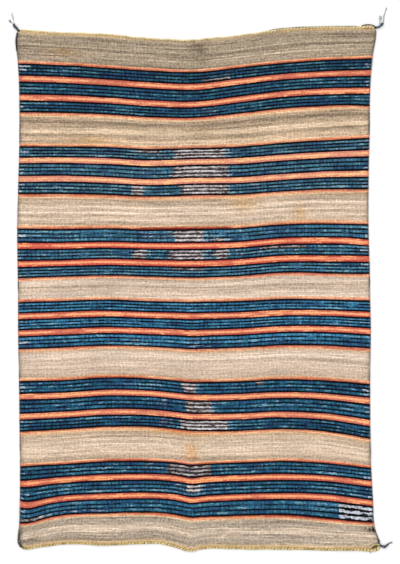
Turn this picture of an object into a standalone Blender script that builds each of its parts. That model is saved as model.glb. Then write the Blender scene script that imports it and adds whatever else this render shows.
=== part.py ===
"""Striped wool wearing blanket, tapestry woven on an upright loom.

The blanket lies face up and flat, with its warp along Y (upper end at +Y) and its weft along X.
Z is up, and Z = 0 is the surface that the blanket lies on.
The origin is the middle of the whole outline, tassels included, on that surface.
"""

import bisect
import math
from collections import namedtuple

import bmesh
import bpy
from mathutils import Vector

MM = 0.001

# Driving dimensions, in metres.
CLOTH_THICKNESS = 0.0024
CORD_RADIUS = 0.0020
PIECE_GAP = 0.0003
STORAGE_CREASE_X = -0.012
STORAGE_CREASE_SHARE = 0.49
KINK_SPREAD = 0.036

# Mesh spacing of the cloth, in metres.
COLUMN_STEP = 0.033
ROW_STEP = 0.038
CREASE_STEP = 0.006
CREASE_LINES = 4
CORNER_STEPS = (0.0, 0.002, 0.005, 0.009, 0.013, 0.018, 0.024)

# The weft lines of the cloth, from the lower end to the upper end, in millimetres.
#   along        mean distance of the line from the lower end
#   left, right  the two selvages, from the middle line
#   kink         how far the storage crease pulls the line down
#   rise         how far the line lies above its mean, at nine even places from left to right
WeftLine = namedtuple("WeftLine", "along left right kink rise")
WEFT_LINES = (
    WeftLine(0, -585, 618, 10, (-9, 12, 9, 15, 1, -4, -5, -7, -10)),
    WeftLine(28, -583, 614, 8, (-12, 11, 9, 15, 1, -2, -2, -6, -11)),
    WeftLine(93, -582, 597, 4, (-19, 6, 11, 14, 1, 3, 5, -5, -15)),
    WeftLine(161, -582, 594, 6, (-17, -1, 6, 10, 0, 5, 8, 4, -12)),
    WeftLine(286, -582, 587, 4, (-9, -1, 8, 8, 0, 3, 8, 1, -15)),
    WeftLine(382, -583, 585, 1, (-1, 5, 14, 12, -1, -2, 4, -3, -27)),
    WeftLine(564, -585, 584, 1, (-3, 1, 10, 6, -5, -3, 4, 0, -11)),
    WeftLine(722, -588, 586, 2, (-7, -3, 3, -1, -5, -1, 8, 8, 0)),
    WeftLine(903, -589, 583, 0, (-9, -4, 0, -3, -7, -2, 9, 9, 8)),
    WeftLine(1078, -591, 578, 0, (-4, -6, -4, -8, -6, -3, 9, 13, 10)),
    WeftLine(1235, -587, 579, 0, (0, -1, -6, -12, -8, -7, 3, 13, 16)),
    WeftLine(1353, -584, 582, 0, (-5, -5, -7, -14, -11, -6, 7, 16, 24)),
    WeftLine(1504, -584, 584, 0, (1, -2, -9, -19, -23, -6, 12, 21, 24)),
    WeftLine(1619, -589, 592, 0, (7, 1, -8, -18, -23, -7, 8, 18, 23)),
    WeftLine(1679, -593, 603, 0, (9, 2, -7, -19, -24, -8, 11, 19, 22)),
    WeftLine(1717, -583, 605, 0, (10, 2, -6, -20, -24, -8, 13, 19, 19)),
)

# Soft folds that stand up from the surface, in millimetres.
#   x, along     the two ends of the fold's crest, from the middle line and from the lower end
#   height       how far the cloth stands up at the crest
#   half_width   from the crest to where the cloth lies flat again
Fold = namedtuple("Fold", "x_start along_start x_end along_end height half_width")
FOLDS = (
    Fold(STORAGE_CREASE_X / MM, -60, STORAGE_CREASE_X / MM, 1780, 2.2, 22),
    Fold(-640, 175, -455, 60, 5.0, 42),
    Fold(-330, -40, -300, 130, 2.5, 40),
    Fold(640, 330, 470, 395, 4.0, 45),
    Fold(-95, 1780, -50, 1600, 3.5, 38),
    Fold(640, 1560, 520, 1640, 2.5, 40),
)

# The corners of the cloth, counter-clockwise from the lower left.
#   knot     the node that ties the cords together there
#   radius   how far the corner is rounded off
#   past     how far past the corner, counter-clockwise, the cords are knotted together
#   reach    half the length of the edge that the knot covers
# The three sizes are in millimetres.
Corner = namedtuple("Corner", "knot radius past reach")
CORNERS = (
    Corner("corner_knot_bottom_left", 30, 0, 10.5),
    Corner("tassel_bottom_right", 13, 15, 4.5),
    Corner("tassel_top_right", 6, 0, 4.8),
    Corner("tassel_top_left", 6, 0, 4.5),
)

# The lumps of each knot, in millimetres. Their places are from the knot's own centre.
Lump = namedtuple("Lump", "node x y long wide high turn_deg")
LUMPS = (
    Lump("tassel_top_left", 0, 0, 4.5, 4.5, 4.0, 0),
    Lump("tassel_top_left", -4.5, 3, 7.0, 4.8, 4.6, 125),
    Lump("tassel_top_left", -11.5, 10, 7.4, 5.0, 4.8, 115),
    Lump("tassel_top_right", 0, 0, 4.8, 4.8, 4.0, 0),
    Lump("tassel_top_right", 8, 0.5, 7.6, 4.2, 4.0, 5),
    Lump("tassel_top_right", 19, 6, 8.6, 5.4, 4.6, 38),
    Lump("tassel_bottom_right", 0, 0, 4.5, 4.5, 4.0, 0),
    Lump("tassel_bottom_right", 7, -1.5, 6.4, 3.8, 3.6, -15),
    Lump("tassel_bottom_right", 16, -4.5, 7.6, 4.8, 4.2, -10),
    Lump("corner_knot_bottom_left", 0, 0, 10.5, 4.5, 4.2, -45),
    Lump("corner_knot_bottom_left", -5.0, 5.0, 4.4, 4.8, 4.4, -45),
    Lump("corner_knot_bottom_left", 6.0, -6.0, 4.2, 4.7, 4.3, -45),
)

# The loose yarn ends, in millimetres, on routes that are measured from the knot's centre.
LooseEnd = namedtuple("LooseEnd", "node root_thick tip_thick route")
LOOSE_ENDS = (
    LooseEnd("tassel_top_left", 5.0, 2.4, ((-12, 11), (-16, 17), (-21, 23), (-26, 29), (-29, 35))),
    LooseEnd("tassel_top_left", 2.6, 1.4, ((-12, 11), (-14, 21), (-17, 32), (-19, 45), (-21, 57))),
    LooseEnd("tassel_top_right", 5.6, 1.2, ((20, 7), (26, 15), (29, 25), (30, 36), (33, 48), (38, 62))),
    LooseEnd("tassel_top_right", 6.4, 4.6, ((14, 3), (15, 14), (16, 25), (18, 36))),
    LooseEnd("tassel_bottom_right", 5.6, 1.4, ((17, -5), (22, -3), (26, 2), (31, 6.5), (36, 8), (42, 8))),
)

# Yarn colours, linear, with how rough each yarn looks.
WEB_WOOL = ((0.42, 0.31, 0.22), 0.95)
YELLOW_CORD_WOOL = ((0.62, 0.40, 0.10), 0.9)
SLATE_CORD_WOOL = ((0.035, 0.045, 0.060), 0.9)
SLATE_TASSEL_WOOL = ((0.09, 0.12, 0.17), 0.9)

# Mesh detail of the knots.
LUMP_SIDES = 12
LUMP_RINGS = 8
FLAT_SIDE_DOWN = math.radians(45)
WELD_DISTANCE = 1e-6


def smooth_value(places, values, at):
    """Read a smooth curve through unevenly spaced values."""
    last = len(places) - 1
    slopes = []
    for i in range(last + 1):
        before = max(i - 1, 0)
        after = min(i + 1, last)
        slopes.append((values[after] - values[before]) / (places[after] - places[before]))
    i = min(max(bisect.bisect_right(places, at) - 1, 0), last - 1)
    span = places[i + 1] - places[i]
    t = (at - places[i]) / span
    start = (1 + 2 * t) * (1 - t) ** 2 * values[i] + t * (1 - t) ** 2 * span * slopes[i]
    end = t * t * (3 - 2 * t) * values[i + 1] + t * t * (t - 1) * span * slopes[i + 1]
    return start + end


ALONG = [line.along * MM for line in WEFT_LINES]
CLOTH_LENGTH = ALONG[-1]


def edge_at(name, along):
    """Read the left or right selvage, or the kink, at a distance from the lower end."""
    return smooth_value(ALONG, [getattr(line, name) * MM for line in WEFT_LINES], along)


def rise_at(across, along):
    """Read how far a weft line bows up, at a share of the width from the left selvage."""
    last = len(WEFT_LINES[0].rise) - 1
    stations = [i / last for i in range(last + 1)]
    rises = [smooth_value(stations, line.rise, across) * MM for line in WEFT_LINES]
    return smooth_value(ALONG, rises, along)


def fold_height(x, along):
    """Add up how far the soft folds lift the cloth from the surface."""
    height = 0.0
    for fold in FOLDS:
        start = Vector((fold.x_start, fold.along_start)) * MM
        crest = Vector((fold.x_end, fold.along_end)) * MM - start
        away = Vector((x, along)) - start
        share = min(max(away.dot(crest) / crest.length_squared, 0.0), 1.0)
        distance = (away - crest * share).length
        half_width = fold.half_width * MM
        if distance < half_width:
            height += fold.height * MM * math.cos(0.5 * math.pi * distance / half_width) ** 2
    return height


def round_corner(x, along, left, right):
    """Pull a point near a corner of the cloth in, so that the corner is round."""
    lower_left, lower_right, upper_right, upper_left = (corner.radius * MM for corner in CORNERS)
    from_side = min(x - left, right - x)
    from_end = min(along, CLOTH_LENGTH - along)
    on_left = x - left < right - x
    if along < CLOTH_LENGTH / 2:
        radius = lower_left if on_left else lower_right
    else:
        radius = upper_left if on_left else upper_right
    inset_x = radius - from_side
    inset_y = radius - from_end
    if inset_x <= 0 or inset_y <= 0:
        return x, along
    shrink = max(inset_x, inset_y) / math.hypot(inset_x, inset_y)
    from_side = radius - inset_x * shrink
    from_end = radius - inset_y * shrink
    x = left + from_side if on_left else right - from_side
    along = from_end if along < CLOTH_LENGTH / 2 else CLOTH_LENGTH - from_end
    return x, along


def cloth_point(across, along):
    """Place a point of the cloth's underside."""
    left = edge_at("left", along)
    right = edge_at("right", along)
    if across < STORAGE_CREASE_SHARE:
        x = left + (STORAGE_CREASE_X - left) * across / STORAGE_CREASE_SHARE
    else:
        x = right - (right - STORAGE_CREASE_X) * (1 - across) / (1 - STORAGE_CREASE_SHARE)
    x, along = round_corner(x, along, left, right)
    kink = edge_at("kink", along) * math.exp(-((x - STORAGE_CREASE_X) / KINK_SPREAD) ** 2)
    rise = rise_at((x - left) / (right - left), along)
    return Vector((x, along + rise - kink, fold_height(x, along)))


def even_places(length, step):
    """Divide a length evenly, in steps of about the given size."""
    count = round(length / step)
    return [length * i / count for i in range(count + 1)]


def grid_places(length, step, extra=()):
    """List the mesh lines of one direction: even ones, close ones at both ends, and extra ones."""
    close = CORNER_STEPS[-1]
    places = [place for place in even_places(length, step) if close < place < length - close]
    for distance in CORNER_STEPS:
        places += [distance, length - distance]
    places = [p for p in places if all(abs(p - q) > CREASE_STEP / 2 for q in extra)]
    return sorted(places + list(extra))


CLOTH_WIDTH = sum(line.right - line.left for line in WEFT_LINES) * MM / len(WEFT_LINES)
CREASE_OFFSETS = [CREASE_STEP * i for i in range(-CREASE_LINES, CREASE_LINES + 1)]
CREASE_PLACES = [CLOTH_WIDTH * STORAGE_CREASE_SHARE + offset for offset in CREASE_OFFSETS]
COLUMNS = [place / CLOTH_WIDTH for place in grid_places(CLOTH_WIDTH, COLUMN_STEP, CREASE_PLACES)]
ROWS = grid_places(CLOTH_LENGTH, ROW_STEP)


def wool_material(name, wool):
    """Make a plain wool material."""
    colour, roughness = wool
    material = bpy.data.materials.new(name)
    material.use_nodes = True
    shader = material.node_tree.nodes["Principled BSDF"]
    shader.inputs["Base Color"].default_value = (*colour, 1)
    shader.inputs["Roughness"].default_value = roughness
    shader.inputs["Metallic"].default_value = 0
    return material


def add_object(name, data, collection, material=None):
    """Put a mesh or a curve into a collection under its node's name."""
    item = bpy.data.objects.new(name, data)
    collection.objects.link(item)
    if material:
        data.materials.append(material)
    return item


def make_web(collection, material):
    """Shape a grid into the cloth's underside and give it the cloth's thickness."""
    cloth = bmesh.new()
    last_column = len(COLUMNS) - 1
    last_row = len(ROWS) - 1
    bmesh.ops.create_grid(cloth, x_segments=last_column, y_segments=last_row, size=0.5)
    for vertex in cloth.verts:
        column = round((vertex.co.x + 0.5) * last_column)
        row = round((vertex.co.y + 0.5) * last_row)
        vertex.co = cloth_point(COLUMNS[column], ROWS[row])
    data = bpy.data.meshes.new("web")
    cloth.to_mesh(data)
    cloth.free()
    web = add_object("web", data, collection, material)
    thickness = web.modifiers.new("thickness", "SOLIDIFY")
    thickness.thickness = CLOTH_THICKNESS
    thickness.offset = 1
    return web


class Edge:
    """The cloth's closed edge, walked counter-clockwise from the lower left corner."""

    def __init__(self):
        lower = [cloth_point(across, 0.0) for across in COLUMNS]
        right = [cloth_point(1.0, along) for along in ROWS]
        upper = [cloth_point(across, CLOTH_LENGTH) for across in reversed(COLUMNS)]
        left = [cloth_point(0.0, along) for along in reversed(ROWS)]
        self.points = []
        self.corner_at = []
        for side in (lower, right, upper, left):
            self.corner_at.append(len(self.points))
            self.points += side[:-1]
        self.outward = [self.outward_at(i) for i in range(len(self.points))]
        self.distance = [0.0]
        for i in range(len(self.points)):
            step = self.points[(i + 1) % len(self.points)] - self.points[i]
            self.distance.append(self.distance[-1] + step.to_2d().length)
        self.length = self.distance[-1]

    def outward_at(self, i):
        """Find the way out of the cloth at a point, lengthened so that an offset edge stays parallel."""
        here = self.points[i].to_2d()
        arriving = (here - self.points[i - 1].to_2d()).normalized()
        leaving = (self.points[(i + 1) % len(self.points)].to_2d() - here).normalized()
        along = (arriving + leaving).normalized()
        outward = Vector((along.y, -along.x, 0.0))
        return outward / along.dot(leaving)

    def read(self, distance):
        """Return the place and the way out at a distance along the edge."""
        distance %= self.length
        i = min(bisect.bisect_right(self.distance, distance) - 1, len(self.points) - 1)
        share = (distance - self.distance[i]) / (self.distance[i + 1] - self.distance[i])
        after = (i + 1) % len(self.points)
        point = self.points[i].lerp(self.points[after], share)
        outward = self.outward[i].lerp(self.outward[after], share)
        return point, outward

    def stretch(self, start, end):
        """List the edge's points between two distances, with their ways out."""
        if end < start:
            end += self.length
        stops = [start, end]
        for lap in (0.0, self.length):
            stops += [d + lap for d in self.distance[:-1] if start + MM < d + lap < end - MM]
        return [self.read(stop) for stop in sorted(stops)]


def knot_places(edge):
    """Find each corner's knot: its distance along the edge and its centre on the surface."""
    places = {}
    for index, corner in enumerate(CORNERS):
        distance = edge.distance[edge.corner_at[index]] + corner.past * MM
        point, outward = edge.read(distance)
        wide = next(lump.wide for lump in LUMPS if lump.node == corner.knot)
        centre = point + outward.normalized() * (wide * MM + PIECE_GAP)
        places[corner.knot] = (distance, Vector((centre.x, centre.y, 0.0)))
    return places


def make_cord(name, edge, start, end, collection, material):
    """Run a round cord along a stretch of the cloth's edge, just clear of it."""
    stops = edge.stretch(start, end)
    data = bpy.data.curves.new(name, "CURVE")
    data.dimensions = "3D"
    data.twist_mode = "Z_UP"
    data.bevel_depth = CORD_RADIUS
    data.bevel_resolution = 2
    data.use_fill_caps = True
    spline = data.splines.new("POLY")
    spline.points.add(len(stops) - 1)
    for spot, (point, outward) in zip(spline.points, stops):
        centre = point + outward * (CORD_RADIUS + PIECE_GAP)
        spot.co = (centre.x, centre.y, point.z + CORD_RADIUS, 1)
    return add_object(name, data, collection, material)


def make_cords(edge, knots, collection, yellow, slate):
    """Run the four cords between the corner knots."""
    cords = (
        ("end_cord_bottom", 0, yellow),
        ("side_cord_right", 1, slate),
        ("end_cord_top", 2, yellow),
        ("side_cord_left", 3, slate),
    )
    for name, index, material in cords:
        here = CORNERS[index]
        following = CORNERS[(index + 1) % len(CORNERS)]
        clearance = CORD_RADIUS / 2 + PIECE_GAP
        start = knots[here.knot][0] + here.reach * MM + clearance
        end = knots[following.knot][0] - following.reach * MM - clearance
        make_cord(name, edge, start, end % edge.length, collection, material)


def make_lump(lump, centre, collection):
    """Make one rounded lump of a knot, resting on the surface."""
    body = bmesh.new()
    bmesh.ops.create_uvsphere(body, u_segments=LUMP_SIDES, v_segments=LUMP_RINGS, radius=1.0)
    turn = math.radians(lump.turn_deg)
    for vertex in body.verts:
        x = vertex.co.x * lump.long * MM
        y = vertex.co.y * lump.wide * MM
        vertex.co = (
            centre.x + lump.x * MM + x * math.cos(turn) - y * math.sin(turn),
            centre.y + lump.y * MM + x * math.sin(turn) + y * math.cos(turn),
            (vertex.co.z + 1) * lump.high * MM,
        )
    data = bpy.data.meshes.new(lump.node + "_lump")
    body.to_mesh(data)
    body.free()
    return add_object(data.name, data, collection)


def make_loose_end(loose_end, centre, collection):
    """Make one tapering, four-sided yarn end that lies level on the surface."""
    data = bpy.data.curves.new(loose_end.node + "_end", "CURVE")
    data.dimensions = "3D"
    data.twist_mode = "Z_UP"
    data.bevel_depth = 1.0
    data.bevel_resolution = 0
    data.use_fill_caps = True
    spline = data.splines.new("POLY")
    last = len(loose_end.route) - 1
    spline.points.add(last)
    for i, (x, y) in enumerate(loose_end.route):
        thick = loose_end.root_thick + (loose_end.tip_thick - loose_end.root_thick) * i / last
        spot = spline.points[i]
        spot.radius = thick * MM / math.sqrt(2)
        spot.tilt = FLAT_SIDE_DOWN
        spot.co = (centre.x + x * MM, centre.y + y * MM, thick * MM / 2, 1)
    curve = add_object(data.name, data, collection)
    graph = bpy.context.evaluated_depsgraph_get()
    mesh = bpy.data.meshes.new_from_object(curve.evaluated_get(graph))
    bpy.data.objects.remove(curve)
    welded = bmesh.new()
    welded.from_mesh(mesh)
    bmesh.ops.remove_doubles(welded, verts=welded.verts, dist=WELD_DISTANCE)
    welded.to_mesh(mesh)
    welded.free()
    return add_object(mesh.name, mesh, collection)


def fuse(name, pieces, collection, material):
    """Join overlapping pieces into one closed body."""
    base = pieces[0]
    for piece in pieces[1:]:
        union = base.modifiers.new("union", "BOOLEAN")
        union.operation = "UNION"
        union.object = piece
    graph = bpy.context.evaluated_depsgraph_get()
    mesh = bpy.data.meshes.new_from_object(base.evaluated_get(graph))
    mesh.name = name
    for piece in pieces:
        bpy.data.objects.remove(piece)
    return add_object(name, mesh, collection, material)


def make_knots(knots, collection, material):
    """Make the three tassels and the bound corner."""
    for node, (_, centre) in knots.items():
        pieces = [make_lump(lump, centre, collection) for lump in LUMPS if lump.node == node]
        pieces += [make_loose_end(e, centre, collection) for e in LOOSE_ENDS if e.node == node]
        fuse(node, pieces, collection, material)


def centre_on_origin(collection):
    """Shift every piece so that the middle of the whole outline is on the origin."""
    graph = bpy.context.evaluated_depsgraph_get()
    points = []
    for item in collection.objects:
        evaluated = item.evaluated_get(graph)
        points += [item.matrix_world @ vertex.co for vertex in evaluated.to_mesh().vertices]
        evaluated.to_mesh_clear()
    for axis in range(2):
        low = min(point[axis] for point in points)
        high = max(point[axis] for point in points)
        for item in collection.objects:
            item.location[axis] = -(low + high) / 2


def main():
    for item in list(bpy.data.objects):
        bpy.data.objects.remove(item)
    blanket = bpy.data.collections.new("wearing_blanket")
    bpy.context.scene.collection.children.link(blanket)

    yellow = wool_material("yellow_cord_wool", YELLOW_CORD_WOOL)
    slate = wool_material("slate_cord_wool", SLATE_CORD_WOOL)
    edge = Edge()
    knots = knot_places(edge)
    make_web(blanket, wool_material("web_wool", WEB_WOOL))
    make_cords(edge, knots, blanket, yellow, slate)
    make_knots(knots, blanket, wool_material("slate_tassel_wool", SLATE_TASSEL_WOOL))
    centre_on_origin(blanket)


main()
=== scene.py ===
"""Looks of the striped wool wearing blanket: yarns, weave, cords, tassels, light and camera."""

import bisect
import math
import random
from collections import namedtuple
from functools import partial

import bpy
import numpy as np
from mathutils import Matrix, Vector, noise


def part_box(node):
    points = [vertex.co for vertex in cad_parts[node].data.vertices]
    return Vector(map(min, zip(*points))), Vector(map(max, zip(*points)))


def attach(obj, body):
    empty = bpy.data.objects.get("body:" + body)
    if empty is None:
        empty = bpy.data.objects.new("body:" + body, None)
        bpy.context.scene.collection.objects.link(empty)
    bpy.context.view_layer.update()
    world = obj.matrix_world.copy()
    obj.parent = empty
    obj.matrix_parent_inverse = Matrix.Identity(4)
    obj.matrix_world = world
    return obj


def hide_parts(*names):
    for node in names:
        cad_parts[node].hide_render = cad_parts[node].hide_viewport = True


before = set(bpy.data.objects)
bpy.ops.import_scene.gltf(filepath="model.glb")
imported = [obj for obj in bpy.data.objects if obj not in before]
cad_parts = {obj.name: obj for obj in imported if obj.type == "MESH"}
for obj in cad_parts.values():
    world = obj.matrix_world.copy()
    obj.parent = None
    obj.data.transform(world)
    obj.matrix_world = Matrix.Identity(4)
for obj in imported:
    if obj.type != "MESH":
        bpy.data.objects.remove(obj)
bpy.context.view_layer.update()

MM = 0.001

# Sizes that the solids have too, in metres.
CLOTH_THICKNESS = 0.0024
CORD_RADIUS = 0.0020
PIECE_GAP = 0.0003
STORAGE_CREASE_X = -0.012
STORAGE_CREASE_SHARE = 0.49
KINK_SPREAD = 0.036

# Spacing of the cloth's mesh, of the points of its edge and of those that colour it, in metres.
COLUMN_STEP = 0.0092
BEIGE_ROW = 0.0047
EDGE_STEP = 0.038
SELVAGE_STEP = 0.020
CREASE_STEP = 0.005
CREASE_LINES = 5
CORNER_STEPS = (0.0, 0.002, 0.005, 0.009, 0.013, 0.018, 0.024)

# How far a line of the weave wavers, over long and short stretches, and how high the cloth puckers
# between its folds, in metres.
SLOW_WAVER = 0.0011
QUICK_WAVER = 0.00035
PUCKER = 0.00045

# The weft lines of the cloth, from the lower end to the upper end, in millimetres.
#   along        mean distance of the line from the lower end
#   left, right  the two selvages, from the middle line
#   kink         how far the storage crease pulls the line down
#   rise         how far the line lies above its mean, at nine even places from left to right
WeftLine = namedtuple("WeftLine", "along left right kink rise")
WEFT_LINES = (
    WeftLine(0, -588, 618, 10, (-9, 12, 9, 15, 1, -4, -5, -7, -10)),
    WeftLine(28, -587, 614, 8, (-12, 11, 9, 15, 1, -2, -2, -6, -11)),
    WeftLine(93, -584, 597, 4, (-22, 7, 13, 15, 2, 4, 6, -5, -16)),
    WeftLine(161, -582, 594, 6, (-25, 0, 7, 10, 0, 5, 8, 3, -16)),
    WeftLine(286, -582, 587, 4, (-9, -1, 8, 8, 0, 3, 8, 1, -15)),
    WeftLine(382, -583, 585, 1, (-4, 4, 13, 12, -1, -1, 5, -3, -27)),
    WeftLine(564, -585, 584, 1, (-3, 1, 10, 6, -5, -3, 4, 0, -11)),
    WeftLine(722, -588, 586, 2, (-8, -2, 3, -1, -5, -2, 7, 7, -1)),
    WeftLine(831, -588, 584, 1, (-6, -2, 2, -3, -5, -3, 4, 3, -1)),
    WeftLine(903, -589, 583, 0, (-9, -4, 0, -3, -7, -2, 9, 9, 8)),
    WeftLine(1078, -591, 578, 0, (-4, -6, -4, -8, -6, -3, 9, 13, 10)),
    WeftLine(1235, -587, 579, 0, (-2, -1, -6, -13, -8, -6, 4, 13, 16)),
    WeftLine(1353, -584, 582, 0, (-5, -5, -7, -14, -11, -6, 7, 16, 24)),
    WeftLine(1504, -584, 584, 0, (1, -2, -9, -19, -23, -6, 12, 21, 24)),
    WeftLine(1619, -589, 592, 0, (7, 1, -8, -18, -23, -7, 8, 18, 23)),
    WeftLine(1679, -595, 603, 0, (9, 2, -7, -19, -24, -8, 11, 19, 22)),
    WeftLine(1717, -589, 605, 0, (10, 2, -6, -20, -24, -8, 13, 19, 19)),
)

# Places where the cloth is stretched down, in millimetres, or up where the depth is negative.
Dip = namedtuple("Dip", "x along wide high depth")
DIPS = (
    Dip(-45, 0, 48, 60, 7.5),
    Dip(440, 0, 60, 40, 2.5),
    Dip(-540, 128, 34, 55, 4.0),
    Dip(-594, 165, 20, 55, -10.0),
    Dip(600, 1013, 55, 24, 6.5),
    Dip(600, 1451, 45, 26, 5.5),
    Dip(520, 903, 90, 24, 3.5),
    Dip(540, 94, 110, 28, 3.0),
    Dip(-480, 1717, 60, 60, 2.0),
    Dip(55, 1700, 45, 60, -2.5),
)

# Soft folds that stand up from the surface, in millimetres.
Fold = namedtuple("Fold", "x_start along_start x_end along_end height half_width")
FOLDS = (
    Fold(STORAGE_CREASE_X / MM, -60, STORAGE_CREASE_X / MM, 1780, 2.2, 22),
    Fold(-640, 175, -455, 60, 5.0, 42),
    Fold(-330, -40, -300, 130, 2.5, 40),
    Fold(640, 330, 470, 395, 4.0, 45),
    Fold(-95, 1780, -50, 1600, 3.5, 38),
    Fold(640, 1560, 520, 1640, 2.5, 40),
)

# The corners, counter-clockwise from the lower left, in millimetres.
#   knot     the knot that is tied there
#   radius   rounding of the cloth
#   past     how far past the corner the knot is tied
#   reach    how much of the edge to each side the knot takes up
#   stand    how far the knot's centre stands off the edge
Corner = namedtuple("Corner", "knot radius past reach stand")
CORNERS = (
    Corner("corner_knot_bottom_left", 30, 0, 10.5, 4.8),
    Corner("tassel_bottom_right", 20, 12, 4.5, 4.8),
    Corner("tassel_top_right", 6, 0, 4.8, 5.1),
    Corner("tassel_top_left", 6, 0, 4.5, 4.8),
)

# The six striped groups, from the upper end to the lower end. The first four columns say where
# the middles of the orange stripes lie, in millimetres from the lower end. Colours are sRGB.
#   gold, red    the middle and the edges of a wide stripe
#   peach        the inner half of a thin stripe
#   light        flecks of lighter blue
Group = namedtuple(
    "Group", "thin_upper wide_upper wide_lower thin_lower gold red peach blue light dark"
)
GROUPS = (
    Group(1616, 1563, 1503, 1450, "#ffac7c", "#c46252", "#cc785c", "#1f4b62", "#6c90a2", "#020308"),
    Group(1349.5, 1297, 1233, 1177.5, "#ffbe88", "#da8876", "#ce8a6c", "#3e6a80", "#8aa2b0", "#03040a"),
    Group(1074, 1013, 954, 902, "#ffa676", "#cc5448", "#ce8268", "#396a84", "#8ca8b6", "#04060e"),
    Group(829.5, 777.5, 721.5, 662, "#ffac7c", "#c65c4e", "#d08c72", "#347296", "#84aac0", "#04060e"),
    Group(561, 504, 438, 383, "#ffae7a", "#cc6e5e", "#ca8062", "#225876", "#84a2b6", "#02040a"),
    Group(283, 225, 161, 93.5, "#ffa872", "#c05c50", "#c6745a", "#265a76", "#84a2b4", "#02040a"),
)

# Lengths of the thin stripes that were woven in another yarn, in millimetres. Colours are sRGB. A
# trace of the yarn is found up to TINT_FADE beyond each end.
Tint = namedtuple("Tint", "group edge left right colour strength")
TINTS = (
    Tint(1, "upper", -420, -200, "#c05838", 0.45),
    Tint(1, "upper", 90, 590, "#c05838", 0.40),
    Tint(1, "lower", -95, 72, "#c8584c", 0.75),
    Tint(2, "upper", -590, -520, "#b84c34", 0.55),
    Tint(2, "upper", -150, 118, "#a8604a", 0.55),
    Tint(2, "upper", 380, 600, "#d86c44", 0.45),
    Tint(2, "lower", -590, -500, "#b0402c", 0.75),
    Tint(2, "lower", -420, -150, "#c85c40", 0.60),
    Tint(2, "lower", -40, 90, "#c8645a", 0.50),
    Tint(2, "lower", 360, 590, "#c8604c", 0.40),
    Tint(3, "upper", -524, -340, "#c04c30", 0.60),
    Tint(3, "upper", -185, 128, "#8c1c0c", 0.90),
    Tint(3, "upper", 260, 470, "#c86840", 0.45),
    Tint(3, "lower", 180, 470, "#c05c50", 0.60),
    Tint(4, "upper", -590, -520, "#c05048", 0.60),
    Tint(4, "upper", 60, 240, "#d07050", 0.45),
    Tint(4, "lower", -460, -330, "#c05448", 0.55),
    Tint(4, "lower", 212, 590, "#c05040", 0.60),
    Tint(5, "upper", -374, -160, "#b84c30", 0.70),
    Tint(5, "upper", -60, 60, "#b04838", 0.70),
    Tint(5, "upper", 212, 560, "#c05c40", 0.60),
    Tint(5, "lower", -120, -10, "#c06044", 0.60),
    Tint(6, "upper", -310, -150, "#a43828", 0.75),
    Tint(6, "upper", -90, -10, "#cc6c60", 0.60),
    Tint(6, "upper", 330, 600, "#c85844", 0.60),
    Tint(6, "lower", -595, -380, "#c85440", 0.60),
    Tint(6, "lower", -220, 210, "#c85c34", 0.55),
    Tint(6, "lower", 210, 600, "#b04030", 0.75),
)

TINT_FADE = 20

# Heights of the lines in a group, in millimetres.
THIN_GOLD = 5.0
THIN_PEACH = 4.0
WIDE_GOLD = 8.4
WIDE_RED_UPPER = 4.6
WIDE_RED_LOWER = 5.2
OUTER_DARK = 6.1
INNER_DARK = 4.5

# The natural tones of the undyed fleece, from the greyest spin to the whitest. Colours are sRGB.
FLEECE = {
    "ash": "#9c8a79",
    "dove": "#a69583",
    "fawn": "#b4a18e",
    "sand": "#c3ad97",
    "oat": "#d1b9a3",
    "cream": "#dbc5b0",
    "milk": "#e5cfba",
    "honey": "#d5b089",
}

# The undyed bands between the groups, each a run of tones from its upper to its lower edge.
#   at   share of the band's height from its upper edge
Tone = namedtuple("Tone", "at fleece")
BANDS = (
    (Tone(0.00, "sand"), Tone(0.08, "dove"), Tone(0.18, "ash"), Tone(0.30, "dove"),
     Tone(0.46, "dove"), Tone(0.53, "ash"), Tone(0.60, "fawn"), Tone(0.70, "ash"),
     Tone(0.74, "cream"), Tone(0.78, "ash"),
     Tone(0.90, "dove"), Tone(1.00, "dove")),
    (Tone(0.00, "honey"), Tone(0.06, "sand"), Tone(0.12, "fawn"), Tone(0.19, "ash"), Tone(0.34, "fawn"),
     Tone(0.41, "sand"), Tone(0.49, "cream"), Tone(0.57, "cream"), Tone(0.63, "sand"),
     Tone(0.71, "fawn"), Tone(0.78, "oat"), Tone(1.00, "oat")),
    (Tone(0.00, "honey"), Tone(0.10, "sand"), Tone(0.19, "sand"), Tone(0.26, "oat"), Tone(0.33, "milk"),
     Tone(0.44, "cream"), Tone(0.55, "milk"), Tone(0.62, "oat"), Tone(0.69, "sand"),
     Tone(0.76, "milk"), Tone(0.84, "oat"), Tone(0.94, "oat"), Tone(1.00, "honey")),
    (Tone(0.00, "oat"), Tone(0.14, "cream"), Tone(0.28, "cream"), Tone(0.38, "sand"),
     Tone(0.50, "oat"), Tone(0.60, "oat"), Tone(0.70, "cream"), Tone(1.00, "cream")),
    (Tone(0.00, "honey"), Tone(0.10, "cream"), Tone(0.19, "milk"), Tone(0.27, "milk"), Tone(0.34, "cream"),
     Tone(0.41, "oat"), Tone(0.50, "cream"), Tone(0.63, "cream"), Tone(0.70, "oat"), Tone(0.94, "oat"),
     Tone(1.00, "honey")),
    (Tone(0.00, "honey"), Tone(0.10, "oat"), Tone(0.18, "oat"), Tone(0.26, "sand"), Tone(0.33, "cream"),
     Tone(0.49, "cream"), Tone(0.56, "milk"), Tone(0.71, "oat"), Tone(0.78, "cream"),
     Tone(0.86, "oat"), Tone(0.94, "fawn"), Tone(1.00, "sand")),
    (Tone(0.00, "honey"), Tone(0.08, "sand"), Tone(0.13, "dove"), Tone(0.20, "ash"), Tone(0.28, "fawn"),
     Tone(0.35, "oat"), Tone(0.58, "oat"), Tone(0.70, "fawn"), Tone(0.88, "fawn"), Tone(1.00, "sand")),
)

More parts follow.
